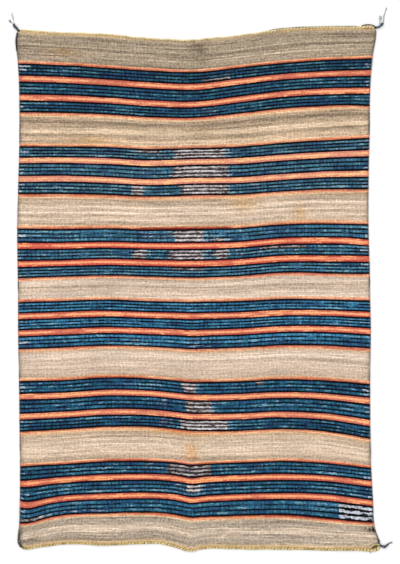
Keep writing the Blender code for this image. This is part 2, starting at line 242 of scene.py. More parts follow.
# Where undyed weft shows in the blue lines, in millimetres from the middle line.
#   group, sub   which group and which of its three blue bands, counted from the upper end
#   lines        which of the band's three blue lines, counted from the upper end
#   strength     how much of it shows, from 0 to 1
#   ragged       how far the left end fades; the right end is sharp
Pale = namedtuple("Pale", "group sub lines left right strength ragged")
PALES = (
    Pale(1, 1, "3", 0, 122, 0.55, 60),
    Pale(1, 1, "12", 60, 122, 0.18, 40),
    Pale(1, 3, "12", 0, 72, 0.42, 40),
    Pale(1, 3, "3", -150, -108, 0.35, 30),
    Pale(2, 1, "12", -90, 104, 0.92, 40),
    Pale(2, 1, "3", -90, 104, 0.92, 30),
    Pale(2, 1, "1", -215, -118, 0.62, 40),
    Pale(2, 1, "2", -200, -90, 0.40, 40),
    Pale(2, 2, "123", -88, 104, 0.72, 36),
    Pale(2, 2, "12", -208, -150, 0.34, 30),
    Pale(2, 3, "12", -217, -174, 0.92, 8),
    Pale(2, 3, "3", -217, -174, 0.60, 8),
    Pale(2, 3, "123", -76, 104, 0.82, 44),
    Pale(3, 1, "123", -86, 26, 0.84, 30),
    Pale(3, 1, "12", -215, -76, 0.42, 60),
    Pale(3, 1, "3", 50, 102, 0.62, 20),
    Pale(3, 2, "12", -215, -163, 0.92, 20),
    Pale(3, 2, "123", -235, -163, 0.50, 60),
    Pale(3, 2, "123", -100, 30, 0.82, 26),
    Pale(3, 2, "12", 54, 113, 0.94, 14),
    Pale(3, 2, "3", 60, 113, 0.60, 14),
    Pale(3, 2, "12", 113, 160, 0.34, 10),
    Pale(3, 2, "1", 180, 370, 0.46, 90),
    Pale(3, 3, "1", -82, 26, 0.55, 30),
    Pale(4, 3, "12", -232, -180, 0.28, 20),
    Pale(4, 3, "13", -66, 55, 0.42, 50),
    Pale(5, 1, "12", -58, 2, 0.96, 30),
    Pale(5, 1, "3", -58, 2, 0.50, 30),
    Pale(5, 1, "1", 200, 228, 0.55, 10),
    Pale(5, 2, "12", -150, -95, 0.42, 30),
    Pale(5, 2, "123", -42, 50, 0.74, 20),
    Pale(5, 3, "123", -150, -70, 0.34, 40),
    Pale(5, 3, "123", -70, 106, 0.97, 40),
    Pale(6, 1, "12", -220, -140, 0.30, 50),
    Pale(6, 1, "123", -125, 55, 0.56, 60),
    Pale(6, 1, "123", 92, 111, 0.40, 8),
    Pale(6, 1, "12", 192, 226, 0.32, 10),
    Pale(6, 2, "12", -30, 18, 0.90, 8),
    Pale(6, 2, "12", -90, -30, 0.34, 40),
    Pale(6, 2, "12", 25, 60, 0.20, 20),
    Pale(6, 3, "123", 484, 612, 0.92, 3),
    Pale(6, 3, "3", -600, -500, 0.58, 2),
    Pale(6, 3, "3", -500, -290, 0.34, 2),
)

# Discoloured and darker places, in millimetres, among them a painted shadow of a small fold near the
# lower left corner. A colour is multiplied onto the wool, and a strength above 1 spreads a mark's full
# colour out from its middle.
StainAndShadow = namedtuple("StainAndShadow", "x along wide high colour strength")
STAINS_AND_SHADOWS = (
    # Darker patches beside the crease at the upper end.
    StainAndShadow(22, 1679, 14, 10, "#4c463c", 0.75),
    StainAndShadow(8, 1700, 34, 16, "#8c8474", 0.60),
    StainAndShadow(30, 1650, 22, 18, "#a89c88", 0.45),
    StainAndShadow(-440, 1655, 60, 16, "#f0cf90", 0.60),
    StainAndShadow(-340, 1364, 80, 14, "#f2d48c", 0.60),
    StainAndShadow(20, 1398, 40, 22, "#a89c86", 0.40),
    StainAndShadow(165, 1150, 46, 26, "#f2d492", 0.70),
    StainAndShadow(350, 1106, 22, 26, "#efd08c", 0.75),
    StainAndShadow(60, 1167, 46, 5, "#5a5040", 0.60),
    StainAndShadow(-12, 322, 24, 26, "#f0c078", 0.75),
    StainAndShadow(-14, 298, 30, 6, "#e8b060", 0.75),
    StainAndShadow(-60, 376, 130, 7, "#f4d896", 0.70),
    StainAndShadow(600, 73, 8, 11, "#1c140e", 1.60),
    StainAndShadow(586, 70, 4, 10, "#33261c", 1.30),
    StainAndShadow(572, 74, 14, 6, "#86786a", 0.80),
    StainAndShadow(-592, 50, 15, 60, "#5a4638", 0.55),
    # Painted shadow: a dark line where a small fold near the lower left corner shades the cloth.
    StainAndShadow(-560, 25, 24, 5, "#4a4038", 1.00),
    StainAndShadow(-540, 28, 26, 12, "#b0aa90", 0.60),
    StainAndShadow(-380, 20, 210, 9, "#a09a90", 0.50),
)

# Where wear and other changes show, in millimetres: how far golden fleece reaches from the two ends,
# how wide the greyer, darker edge of the undyed bands is, how wide a worn selvage is at least and how
# much wider it may be, and how far the blue is brighter to the right of white weft.
GOLDEN_END = 14
EDGE_GREY_REACH = 8
WORN_SELVAGE = 9
WORN_FURTHER = 30
BRIGHT_BESIDE = 26

# How unevenly the fleece of each undyed band was spun: 1 is the middle.
UNEVEN_SPIN = (1.5, 1.35, 1.1, 0.9, 0.8, 0.95, 1.5)

# The cast of each undyed band's fleece, from the upper end, as factors on its linear colour.
Cast = namedtuple("Cast", "red green blue")
CASTS = (
    Cast(1.05, 1.06, 1.00),
    Cast(1.06, 1.01, 0.90),
    Cast(1.00, 0.98, 0.95),
    Cast(1.00, 1.00, 1.01),
    Cast(1.00, 0.99, 0.99),
    Cast(1.04, 1.02, 0.97),
    Cast(1.04, 1.08, 1.09),
)

# Other yarns of the web. Colours are sRGB.
#   END_GOLD       fleece beside the two end cords
#   EDGE_GREY      fleece greyer and darker along the selvages
#   UNDYED         undyed weft in a blue line, where it is whitest
#   GREYED         the same weft where it is least white
#   BETWEEN        what shows between the rows of undyed weft
#   TEAL, INDIGO   the two ways that the blue dye varies
#   WORN           blue weft worn pale
#   OUTER_THIN     the outer half of a thin stripe
#   OTHER_THIN     a thin stripe's flecks where no tint is listed
END_GOLD = "#e2c08c"
EDGE_GREY = "#6a645c"
UNDYED = "#d2cccc"
GREYED = "#80787c"
BETWEEN = "#786a6c"
TEAL = "#1e6470"
INDIGO = "#284878"
WORN = "#a8b4c0"
OUTER_THIN = "#fcba8c"
OTHER_THIN = "#c85c40"

# The patch near the lower right corner is woven in a cooler yarn, with black lines between.
CORNER_PATCH = 450
CORNER_UNDYED = "#c8ced8"
CORNER_BETWEEN = "#2a2830"

# What dulls the wefts' colours on the side cords: dark plied wool, and rubbed, greyed fibre.
CORD_SLATE = "#2e3034"
CORD_RUBBED = "#8a8688"

# The floor and the framing of the photo: its height in pixels, the real size of a pixel, how many
# pixels the cloth's middle lies right of and above the photo's middle, and the camera's height.
FLOOR_SIZE = 14
FLOOR_HEIGHT = -0.0002
PHOTO_HEIGHT = 564
PIXEL = 3.35 * MM
CLOTH_RIGHT = 1.5
CLOTH_ABOVE = 2.0
CAMERA_HEIGHT = 5.0


def srgb(code):
    """Turn an sRGB hex colour into linear red, green and blue."""
    channels = [int(code[i:i + 2], 16) / 255 for i in (1, 3, 5)]
    return tuple(c / 12.92 if c <= 0.04045 else ((c + 0.055) / 1.055) ** 2.4 for c in channels)


def mix(first, second, share):
    """Blend two linear colours."""
    return tuple(a + (b - a) * share for a, b in zip(first, second))


def smooth_slopes(places, values):
    """Find the slopes of a smooth curve through unevenly spaced values."""
    last = len(places) - 1
    slopes = []
    for i in range(last + 1):
        before = max(i - 1, 0)
        after = min(i + 1, last)
        slopes.append((values[after] - values[before]) / (places[after] - places[before]))
    return slopes


def smooth_value(places, values, at):
    """Read a smooth curve through unevenly spaced values."""
    slopes = smooth_slopes(places, values)
    i = min(max(bisect.bisect_right(places, at) - 1, 0), len(places) - 2)
    span = places[i + 1] - places[i]
    t = (at - places[i]) / span
    start = (1 + 2 * t) * (1 - t) ** 2 * values[i] + t * (1 - t) ** 2 * span * slopes[i]
    end = t * t * (3 - 2 * t) * values[i + 1] + t * t * (t - 1) * span * slopes[i + 1]
    return start + end


ALONG = [line.along * MM for line in WEFT_LINES]
CLOTH_LENGTH = ALONG[-1]
STATIONS = [i / 8 for i in range(9)]


class Weft:
    """One weft line of the cloth: its two ends, its kink at the crease and its bow."""

    def __init__(self, along):
        self.along = along
        self.left = smooth_value(ALONG, [line.left * MM for line in WEFT_LINES], along)
        self.right = smooth_value(ALONG, [line.right * MM for line in WEFT_LINES], along)
        self.kink = smooth_value(ALONG, [line.kink * MM for line in WEFT_LINES], along)
        self.rises = []
        for station in range(len(STATIONS)):
            values = [line.rise[station] * MM for line in WEFT_LINES]
            self.rises.append(smooth_value(ALONG, values, along))

    def point(self, across):
        """Place a point of the line, at a share of the way from left to right."""
        if across < STORAGE_CREASE_SHARE:
            x = self.left + (STORAGE_CREASE_X - self.left) * across / STORAGE_CREASE_SHARE
        else:
            share = (1 - across) / (1 - STORAGE_CREASE_SHARE)
            x = self.right - (self.right - STORAGE_CREASE_X) * share
        x, along = round_corner(x, self.along, self.left, self.right)
        kink = self.kink * math.exp(-((x - STORAGE_CREASE_X) / KINK_SPREAD) ** 2)
        rise = smooth_value(STATIONS, self.rises, (x - self.left) / (self.right - self.left))
        y = along + rise - kink - dip_depth(x, along)
        return Vector((x, y, fold_height(x, along)))


def dip_depth(x, along):
    """Add up how far the cloth is stretched downwards at a place."""
    depth = 0.0
    for dip in DIPS:
        away = ((x / MM - dip.x) / dip.wide) ** 2 + ((along / MM - dip.along) / dip.high) ** 2
        depth += dip.depth * MM * math.exp(-away)
    return depth


def fold_height(x, along):
    """Add up how far the soft folds lift the cloth from the surface."""
    height = 0.0
    for fold in FOLDS:
        start = Vector((fold.x_start, fold.along_start)) * MM
        crest = Vector((fold.x_end, fold.along_end)) * MM - start
        away = Vector((x, along)) - start
        share = min(max(away.dot(crest) / crest.length_squared, 0.0), 1.0)
        distance = (away - crest * share).length
        half_width = fold.half_width * MM
        if distance < half_width:
            height += fold.height * MM * math.cos(0.5 * math.pi * distance / half_width) ** 2
    return height


def round_corner(x, along, left, right):
    """Pull a point near a corner of the cloth in, so that the corner is round."""
    lower_left, lower_right, upper_right, upper_left = (corner.radius * MM for corner in CORNERS)
    from_side = min(x - left, right - x)
    from_end = min(along, CLOTH_LENGTH - along)
    on_left = x - left < right - x
    if along < CLOTH_LENGTH / 2:
        radius = lower_left if on_left else lower_right
    else:
        radius = upper_left if on_left else upper_right
    inset_x = radius - from_side
    inset_y = radius - from_end
    if inset_x <= 0 or inset_y <= 0:
        return x, along
    shrink = max(inset_x, inset_y) / math.hypot(inset_x, inset_y)
    from_side = radius - inset_x * shrink
    from_end = radius - inset_y * shrink
    x = left + from_side if on_left else right - from_side
    along = from_end if along < CLOTH_LENGTH / 2 else CLOTH_LENGTH - from_end
    return x, along


def even_places(length, step):
    """Divide a length evenly, in steps of about the given size."""
    count = max(round(length / step), 1)
    return [length * i / count for i in range(count + 1)]


def grid_places(length, step, extra=()):
    """List the mesh lines of one direction: even ones, close ones at both ends, and extra ones."""
    close = CORNER_STEPS[-1]
    places = [place for place in even_places(length, step) if close < place < length - close]
    for distance in CORNER_STEPS:
        places += [distance, length - distance]
    places = [p for p in places if all(abs(p - q) > CREASE_STEP / 2 for q in extra)]
    return sorted(places + list(extra))


CLOTH_WIDTH = sum(line.right - line.left for line in WEFT_LINES) * MM / len(WEFT_LINES)
CREASE_OFFSETS = [CREASE_STEP * i for i in range(-CREASE_LINES, CREASE_LINES + 1)]
CREASE_PLACES = [CLOTH_WIDTH * STORAGE_CREASE_SHARE + offset for offset in CREASE_OFFSETS]
COLUMNS = [place / CLOTH_WIDTH for place in grid_places(CLOTH_WIDTH, COLUMN_STEP, CREASE_PLACES)]

# One line of the weave: where it ends on its lower side, its yarn, and where it belongs.
Line = namedtuple("Line", "low yarn group sub number share")


def group_lines(index, group):
    """List the lines of one striped group, from its upper edge to its lower edge."""
    thin = (THIN_GOLD + THIN_PEACH) / 2
    upper = WIDE_GOLD / 2 + WIDE_RED_UPPER
    lower = WIDE_GOLD / 2 + WIDE_RED_LOWER
    edges = (
        (group.thin_upper - thin, group.wide_upper + upper),
        (group.wide_upper - lower, group.wide_lower + upper),
        (group.wide_lower - lower, group.thin_lower + thin),
    )
    lines = [
        Line(group.thin_upper + thin - THIN_GOLD, "gold", index, 0, 0, 0),
        Line(group.thin_upper - thin, "peach", index, 0, 0, 0),
    ]
    for sub, (high, low) in enumerate(edges, 1):
        blue = (high - low - 2 * OUTER_DARK - 2 * INNER_DARK) / 3
        heights = (OUTER_DARK, blue, INNER_DARK, blue, INNER_DARK, blue, OUTER_DARK)
        place = high
        for number, height in enumerate(heights):
            place -= height
            yarn = "blue" if number % 2 else "dark"
            lines.append(Line(place, yarn, index, sub, (number + 1) // 2, 0))
        if sub < 3:
            wide = (("red", WIDE_RED_UPPER), ("gold", WIDE_GOLD), ("red", WIDE_RED_LOWER))
            for yarn, height in wide:
                place -= height
                lines.append(Line(place, yarn, index, sub, 0, 0))
    lines.append(Line(group.thin_lower + thin - THIN_PEACH, "peach", index, 4, 0, 0))
    lines.append(Line(group.thin_lower - thin, "gold", index, 4, 0, 0))
    return lines


def band_lines(index, high, low):
    """List the lines of one undyed band, from its upper edge to its lower edge."""
    places = even_places(high - low, BEIGE_ROW / MM)
    lines = []
    for i in range(1, len(places)):
        share = (places[i] + places[i - 1]) / 2 / (high - low)
        lines.append(Line(high - places[i], "undyed", index, 0, i, share))
    return lines


def weave_lines():
    """List every line of the weave, from the upper end to the lower end."""
    half_thin = (THIN_GOLD + THIN_PEACH) / 2
    lines = []
    high = CLOTH_LENGTH / MM
    for index, group in enumerate(GROUPS):
        lines += band_lines(index, high, group.thin_upper + half_thin)
        lines += group_lines(index + 1, group)
        high = group.thin_lower - half_thin
    return lines + band_lines(len(GROUPS), high, 0)


def band_tone(index, share):
    """Read an undyed band's tone at a share of its height."""
    tones = BANDS[index]
    i = 1
    while i < len(tones) - 1 and tones[i].at < share:
        i += 1
    above, below = tones[i - 1], tones[i]
    part = min(max((share - above.at) / (below.at - above.at), 0), 1)
    return mix(srgb(FLEECE[above.fleece]), srgb(FLEECE[below.fleece]), part)


def wander(x, size, seed):
    """Return a slow, even random value between -1 and 1 along a line."""
    return noise.noise(Vector((x / size, seed * 7.31, seed * 3.17)))


def step_up(value, middle, soft):
    """Run smoothly from 0 to 1 about a middle."""
    return 1 / (1 + math.exp(-(value - middle) / soft))


# A spot on a line of the weave, in millimetres from the middle line.
#   left, right         the line's two ends
#   seed                sets this line's random values apart from other lines'
#   draw                the line's own tone, random between -1 and 1
#   slow, quick, fine   random values that change along the line over 200, 45 and 15 mm
Spot = namedtuple("Spot", "x left right seed draw slow quick fine")
# How undyed weft shows at a spot: how much of it, how white it is, and how bright the blue beside it.
Paleness = namedtuple("Paleness", "share white bright")


def pale_weft(line, spot):
    """Say how undyed weft shows at a spot of a blue line, or of the black line under it."""
    share = 0.0
    white = 0.0
    bright = 0.0
    for pale in PALES:
        if (pale.group, pale.sub) != (line.group, line.sub) or str(line.number) not in pale.lines:
            continue
        left = pale.left + pale.ragged * (0.5 + 0.5 * wander(spot.x, 30, spot.seed + 11))
        past = spot.x - pale.right
        if left < spot.x < pale.right:
            inner = min((spot.x - left) / pale.ragged + 0.35, 1)
            broken = 0.85 + 0.7 * wander(spot.x, 22, spot.seed + 5)
            if pale.strength * inner * broken > share:
                share = min(pale.strength * inner * broken, 1)
                white = pale.strength
        elif pale.strength > 0.6 and 0 <= past < BRIGHT_BESIDE:
            bright = 0.75 * (1 - past / 40)
    return Paleness(share, white, bright)


def selvage_share(spot):
    """Say how much pale worn weft shows at the two selvages."""
    on_left = spot.x < 0
    further = max(wander(spot.seed * 40, 60, 3 if on_left else 8) + 0.25, 0)
    if min(spot.x - spot.left, spot.right - spot.x) > WORN_SELVAGE + WORN_FURTHER * further:
        return 0.0
    worn = max(0.58 + 1.2 * wander(spot.seed * 97, 50, 9 if on_left else 4), 0)
    return (0.62 if on_left else 0.52) * worn


def tint_share(group, edge, x):
    """Say which other yarn a thin stripe is woven in at a place, and how much of it shows."""
    for tint in TINTS:
        if tint.group == group and tint.edge == edge:
            inside = min(x - tint.left, tint.right - x)
            if inside > -TINT_FADE:
                fade = step_up(inside + 14 * wander(x, 11, group), 4, 5)
                return srgb(tint.colour), tint.strength * fade
    return srgb(OTHER_THIN), 0.0


def undyed_colours(line, spot):
    """Colour an undyed line: greyer, darker fleece at the selvages and golden fleece at the two ends."""
    uneven = UNEVEN_SPIN[line.group]
    tone = 1 + uneven * (0.12 * spot.draw + 0.34 * spot.slow + 0.20 * spot.quick + 0.10 * spot.fine)
    fleece = band_tone(line.group, line.share)
    colour = tuple(c * tone * cast for c, cast in zip(fleece, CASTS[line.group]))
    inside = min(spot.x - spot.left, spot.right - spot.x)
    # The undyed fleece is greyer and darker close to the selvages.
    colour = mix(colour, srgb(EDGE_GREY), 0.42 * math.exp(-((inside / EDGE_GREY_REACH) ** 2)))
    from_top = (CLOTH_LENGTH - BEIGE_ROW) / MM - line.low
    from_end = min(line.low, from_top * 1.5)
    if from_end < GOLDEN_END:
        gold = 0.9 - from_end / GOLDEN_END
        if from_top < GOLDEN_END:
            gold *= 0.3 + 0.7 * step_up(abs(spot.x - 30), 240, 30)
        colour = mix(colour, srgb(END_GOLD), gold)
    depth = 0.04 + 0.28 * uneven
    darker = tuple(c * (1 - depth * d) for c, d in zip(colour, (1.0, 1.1, 1.2)))
    return colour, darker, 0.16 + 0.3 * spot.quick + 0.1 * (uneven - 1)


def dark_colours(line, group, spot):
    """Colour a black line: the two inner ones are worn beside undyed weft and flecked with blue."""
    if line.number not in (1, 2):
        return srgb(group.dark), srgb(group.blue), 0.03
    pale = pale_weft(line, spot)
    worn = 0.0 if spot.x > CORNER_PATCH else 0.32 * pale.share
    flecks = 0.0 if pale.share > 0 else 0.17 + 0.6 * spot.quick + 0.3 * spot.slow
    return mix(srgb(group.dark), srgb(BETWEEN), worn), srgb(group.blue), flecks


def blue_colours(line, group, spot):
    """Colour a blue line: undyed weft where it is listed, worn weft at the selvages, else blue."""
    pale = pale_weft(line, spot)
    if pale.white > 0.45:
        in_patch = spot.x > CORNER_PATCH
        whiteness = min(max(pale.white ** 1.5 + 0.5 * spot.fine + 0.3 * spot.quick, 0), 1)
        undyed = mix(srgb(GREYED), srgb(CORNER_UNDYED if in_patch else UNDYED), whiteness)
        between = srgb(CORNER_BETWEEN if in_patch else BETWEEN)
        ground = mix(srgb(group.dark), between, 0.8 * pale.share)
        return ground, undyed, 0.38 + 0.28 * pale.share + 0.1 * spot.quick
    tone = 1 + 0.45 * spot.slow + 0.5 * spot.quick + 0.3 * spot.fine + 0.2 * spot.draw
    colour = tuple(c * tone for c in srgb(group.blue))
    dye = srgb(TEAL if spot.quick > 0 else INDIGO)
    colour = mix(colour, dye, min(abs(0.9 * spot.quick + 0.6 * spot.slow), 0.4))
    if pale.share > 0.05:
        return colour, srgb(WORN), 0.12 + 0.6 * pale.share
    if pale.bright > 0:
        return colour, srgb(group.light), pale.bright
    worn = selvage_share(spot)
    if worn > 0.1:
        return colour, srgb(WORN), min(worn, 1)
    return colour, srgb(group.light), 0.23 + 0.25 * spot.slow + 0.28 * spot.quick


def thin_colours(line, group, spot):
    """Colour a thin orange stripe: redder where a tint is listed."""
    outer = line.yarn == "gold"
    red, strength = tint_share(line.group, "upper" if line.sub == 0 else "lower", spot.x)
    colour = mix(srgb(OUTER_THIN if outer else group.peach), red, strength * (0.6 if outer else 1.0))
    tone = 0.97 + 0.3 * spot.quick + 0.25 * spot.fine
    colour = tuple(c * tone for c in colour)
    return colour, mix(colour, red, 0.6), 0.14 + 0.8 * spot.slow + 0.65 * spot.quick


def wide_colours(line, group, spot):
    """Colour a wide orange stripe: its golden middle and red edges are flecked with each other."""
    gold = srgb(group.gold)
    red = srgb(group.red)
    flecks = 0.8 * spot.slow + 0.65 * spot.quick
    if line.yarn == "gold":
        return mix(gold, red, max(flecks, 0) * 0.5), mix(gold, red, 0.8), 0.16 + flecks
    return red, gold, 0.12 + flecks


def line_colours(line, x, left, right, seed, draw):
    """Work out a line's yarn and fleck, as linear colours, and the share of flecks, at a spot."""
    slow = wander(x, 200, seed)
    quick = wander(x, 45, seed + 0.5)
    fine = wander(x, 15, seed + 0.25)
    spot = Spot(x, left, right, seed, draw, slow, quick, fine)
    if line.yarn == "undyed":
        return undyed_colours(line, spot)
    group = GROUPS[line.group - 1]
    if line.yarn == "dark":
        return dark_colours(line, group, spot)
    if line.yarn == "blue":
        return blue_colours(line, group, spot)
    if line.sub in (0, 4):
        return thin_colours(line, group, spot)
    return wide_colours(line, group, spot)


def stained_and_shaded(colour, x, along):
    """Multiply the stains and the painted fold shadow onto a colour."""
    for stain_and_shadow in STAINS_AND_SHADOWS:
        away = ((x - stain_and_shadow.x) / stain_and_shadow.wide) ** 2 + ((along - stain_and_shadow.along) / stain_and_shadow.high) ** 2
        if away < 4:
            share = stain_and_shadow.strength * math.exp(-away)
            share = min(share * (0.75 + 0.6 * noise.noise(Vector((x / 9, along / 4, 2.0)))), 1)
            colour = tuple(c * (1 - share + share * s) for c, s in zip(colour, srgb(stain_and_shadow.colour)))
    return colour


def deselect():
    """Leave nothing selected."""
    bpy.ops.object.select_all(action="DESELECT")


def activate(item):
    """Select one object alone and make it the active one."""
    deselect()
    item.select_set(True)
    bpy.context.view_layer.objects.active = item


def web_points(places):
    """Place the points of the web's grid, and say where each lies on the flat cloth."""
    points = np.zeros((len(places), len(COLUMNS), 3))
    uvs = np.zeros((len(places), len(COLUMNS), 2))
    for row, along in enumerate(places):
        weft = Weft(along)
        for column, across in enumerate(COLUMNS):
            point = weft.point(across)
            waver = SLOW_WAVER * wander(point.x, 0.070, row * 0.21)
            waver += QUICK_WAVER * wander(point.x, 0.012, row * 1.7)
            pucker = noise.noise(Vector((point.x / 0.05, point.y / 0.03, 4.0)))
            pucker += 0.6 * noise.noise(Vector((point.x / 0.16, point.y / 0.12, 9.0)))
            if 0 < row < len(places) - 1:
                point.y += waver
            point.z += (0.5 + 0.5 * pucker) * PUCKER
            points[row, column] = point
            uvs[row, column] = (across * CLOTH_WIDTH, along)
    return points, uvs


def colour_web(data, lines, points, uvs):
    """Give each face its line's yarn and flecks, and mark which corners lie on its upper side."""
    vertex_of_loop = np.zeros(len(data.loops), dtype=int)
    data.loops.foreach_get("vertex_index", vertex_of_loop)
    yarns = np.ones((len(data.loops), 4))
    flecks = np.ones((len(data.loops), 4))
    turns = np.zeros(len(data.loops))
    spins = random.Random(11)
    draws = [spins.uniform(-1, 1) for _ in lines]
    for polygon in data.polygons:
        row, column = divmod(min(polygon.vertices), len(COLUMNS))
        index = len(lines) - 1 - row
        x = (points[row, column, 0] + points[row, column + 1, 0]) / 2 / MM
        along = (uvs[row, column, 1] + uvs[row + 1, column, 1]) / 2 / MM
        left = points[row, 0, 0] / MM
        right = points[row, -1, 0] / MM
        yarn, fleck, share = line_colours(lines[index], x, left, right, index * 0.37, draws[index])
        loops = slice(polygon.loop_start, polygon.loop_start + polygon.loop_total)
        yarns[loops, :3] = stained_and_shaded(yarn, x, along)
        flecks[loops, :3] = stained_and_shaded(fleck, x, along)
        flecks[loops, 3] = min(max(share, 0), 1)
        turns[loops] = vertex_of_loop[loops] // len(COLUMNS) - row
    for name, values in (("yarn", yarns), ("fleck", flecks)):
        attribute = data.color_attributes.new(name, "FLOAT_COLOR", "CORNER")
        attribute.data.foreach_set("color", values.reshape(-1))
    attribute = data.attributes.new("turn", "FLOAT", "CORNER")
    attribute.data.foreach_set("value", turns)
    layer = data.uv_layers[0]
    layer.name = "weave"
    layer.data.foreach_set("uv", uvs.reshape(-1, 2)[vertex_of_loop].reshape(-1))


def make_web(material):
    """Weave the cloth: a grid with one row of faces for each line of yarn."""
    lines = weave_lines()
    places = [line.low * MM for line in reversed(lines)] + [CLOTH_LENGTH]
    deselect()
    bpy.ops.mesh.primitive_grid_add(
        x_subdivisions=len(COLUMNS) - 1, y_subdivisions=len(lines), size=1, calc_uvs=True
    )
    web = bpy.context.object
    web.name = "wool_web"
    points, uvs = web_points(places)
    web.data.vertices.foreach_set("co", points.reshape(-1))
    colour_web(web.data, lines, points, uvs)
    web.data.materials.append(material)

    activate(web)
    bpy.ops.object.shade_smooth()
    thickness = web.modifiers.new("thickness", "SOLIDIFY")
    thickness.thickness = CLOTH_THICKNESS
    thickness.offset = 1
    bpy.ops.object.modifier_apply(modifier="thickness")
    return web


class Edge:
    """The cloth's closed edge, walked counter-clockwise from the lower left corner."""

    def __init__(self):
        rows = [Weft(along) for along in grid_places(CLOTH_LENGTH, EDGE_STEP)]
        lower = [rows[0].point(across) for across in COLUMNS]
        right = [row.point(1.0) for row in rows]
        upper = [rows[-1].point(across) for across in reversed(COLUMNS)]
        left = [row.point(0.0) for row in reversed(rows)]
        self.points = []
        self.corner_at = []
        for side in (lower, right, upper, left):
            self.corner_at.append(len(self.points))
            self.points += side[:-1]
        self.outward = [self.outward_at(i) for i in range(len(self.points))]
        self.distance = [0.0]
        for i in range(len(self.points)):
            step = self.points[(i + 1) % len(self.points)] - self.points[i]
            self.distance.append(self.distance[-1] + step.to_2d().length)
        self.length = self.distance[-1]

    def outward_at(self, i):
        """Find the way out of the cloth at a point, lengthened so that an offset edge stays parallel."""
        here = self.points[i].to_2d()
        arriving = (here - self.points[i - 1].to_2d()).normalized()
        leaving = (self.points[(i + 1) % len(self.points)].to_2d() - here).normalized()
        along = (arriving + leaving).normalized()
        outward = Vector((along.y, -along.x, 0.0))
        return outward / along.dot(leaving)

    def read(self, distance):
        """Return the place and the way out at a distance along the edge."""
        distance %= self.length
        i = min(bisect.bisect_right(self.distance, distance) - 1, len(self.points) - 1)
        share = (distance - self.distance[i]) / (self.distance[i + 1] - self.distance[i])
        after = (i + 1) % len(self.points)
        point = self.points[i].lerp(self.points[after], share)
        outward = self.outward[i].lerp(self.outward[after], share)
        return point, outward


# The yarns of the cords and knots: plied wool that took its dye unevenly, so that it is patchy.
#   finish   the material's name
#   patch    size of a patch of one tone, in millimetres
#   tones    from the darkest to the lightest, in sRGB
Yarn = namedtuple("Yarn", "finish patch tones")
YARNS = {
    "yellow": Yarn("yellow_plied_wool", 16, ("#a08850", "#dcc48a", "#f0e0ac")),
    "straw": Yarn("straw_plied_wool", 30, ("#c8ac70", "#f0dcaa", "#fcf0cc")),
    "buff": Yarn("buff_plied_wool", 8, ("#a08c54", "#c8b47c", "#dccc98")),
    "olive": Yarn("olive_plied_wool", 12, ("#42381c", "#84702f", "#c8aa58")),
    "drab": Yarn("drab_olive_wool", 20, ("#3c3a28", "#68644c", "#948c6c")),
    "brown": Yarn("brown_olive_wool", 6, ("#241c0c", "#4a3812", "#70541c")),
    "earthy": Yarn("olive_brown_knot_wool", 6, ("#2a2620", "#4a4434", "#6c644c")),
    "slate": Yarn("slate_blue_knot_wool", 7, ("#2c303c", "#4c5464", "#7c8696")),
    "faded": Yarn("faded_slate_wool", 10, ("#6c727c", "#949aa4", "#b4bac4")),
    "pale": Yarn("pale_grey_wool", 10, ("#a0a8aa", "#c4cacc", "#dce0e2")),
    "speckled": Yarn("grey_speckled_binding_wool", 5, ("#161412", "#3e3832", "#5a544c", "#e4e4e4")),
    "bound": Yarn("olive_binding_wool", 6, ("#34321c", "#7c7444", "#c8b870", "#eadc9c")),
}

# The cords, counter-clockwise: each starts at the corner of the same number. A ply is given by its
# yarn, its radius and how far it lies from the cord's middle, in millimetres. The plies turn once in
# CORD_PITCH, in metres, and have CORD_STEPS points in each turn.
CORD_PITCH = 0.011
CORD_STEPS = 9
Ply = namedtuple("Ply", "yarn radius spread")
Cord = namedtuple("Cord", "node slot plies")
SIDE_PLIES = (Ply("selvage", 1.2, 0.9), Ply("selvage", 1.2, 0.9))
CORDS = (
    Cord("end_cord_bottom", "end_cord_wool",
         (Ply("yellow", 1.8, 1.5), Ply("yellow", 1.8, 1.5), Ply("olive", 1.7, 1.6))),
    Cord("side_cord_right", "side_cord_wool", SIDE_PLIES),
    Cord("end_cord_top", "end_cord_wool",
         (Ply("straw", 1.8, 1.5), Ply("straw", 1.8, 1.5), Ply("olive", 1.2, 1.6))),
    Cord("side_cord_left", "side_cord_wool", SIDE_PLIES),
)

# Where a cord thickens: past a place along it, in millimetres, by a share of its own thickness. The
# way is 1 where that is above or right of the place, and -1 where it is below.
Swell = namedtuple("Swell", "node past way share soft")
SWELLS = (
    Swell("side_cord_left", 1655, 1, 0.55, 6),
    Swell("side_cord_left", 62, -1, 0.75, 6),
    Swell("side_cord_right", 26, -1, 0.70, 4),
    Swell("end_cord_top", 560, 1, 0.50, 8),
    Swell("end_cord_bottom", 560, 1, 0.25, 8),
)

# Stretches of the side cords, beside their knots, that are darker than the wefts on them, in
# millimetres from the lower end.
DarkStretch = namedtuple("DarkStretch", "node low high share uneven")
DARK_STRETCHES = (
    DarkStretch("side_cord_left", 1652, 1720, 0.85, 0.0),
    DarkStretch("side_cord_left", -5, 66, 0.62, 0.0),
    DarkStretch("side_cord_right", 34, 75, 0.30, 0.8),
    DarkStretch("side_cord_right", -5, 34, 0.92, 0.0),
)

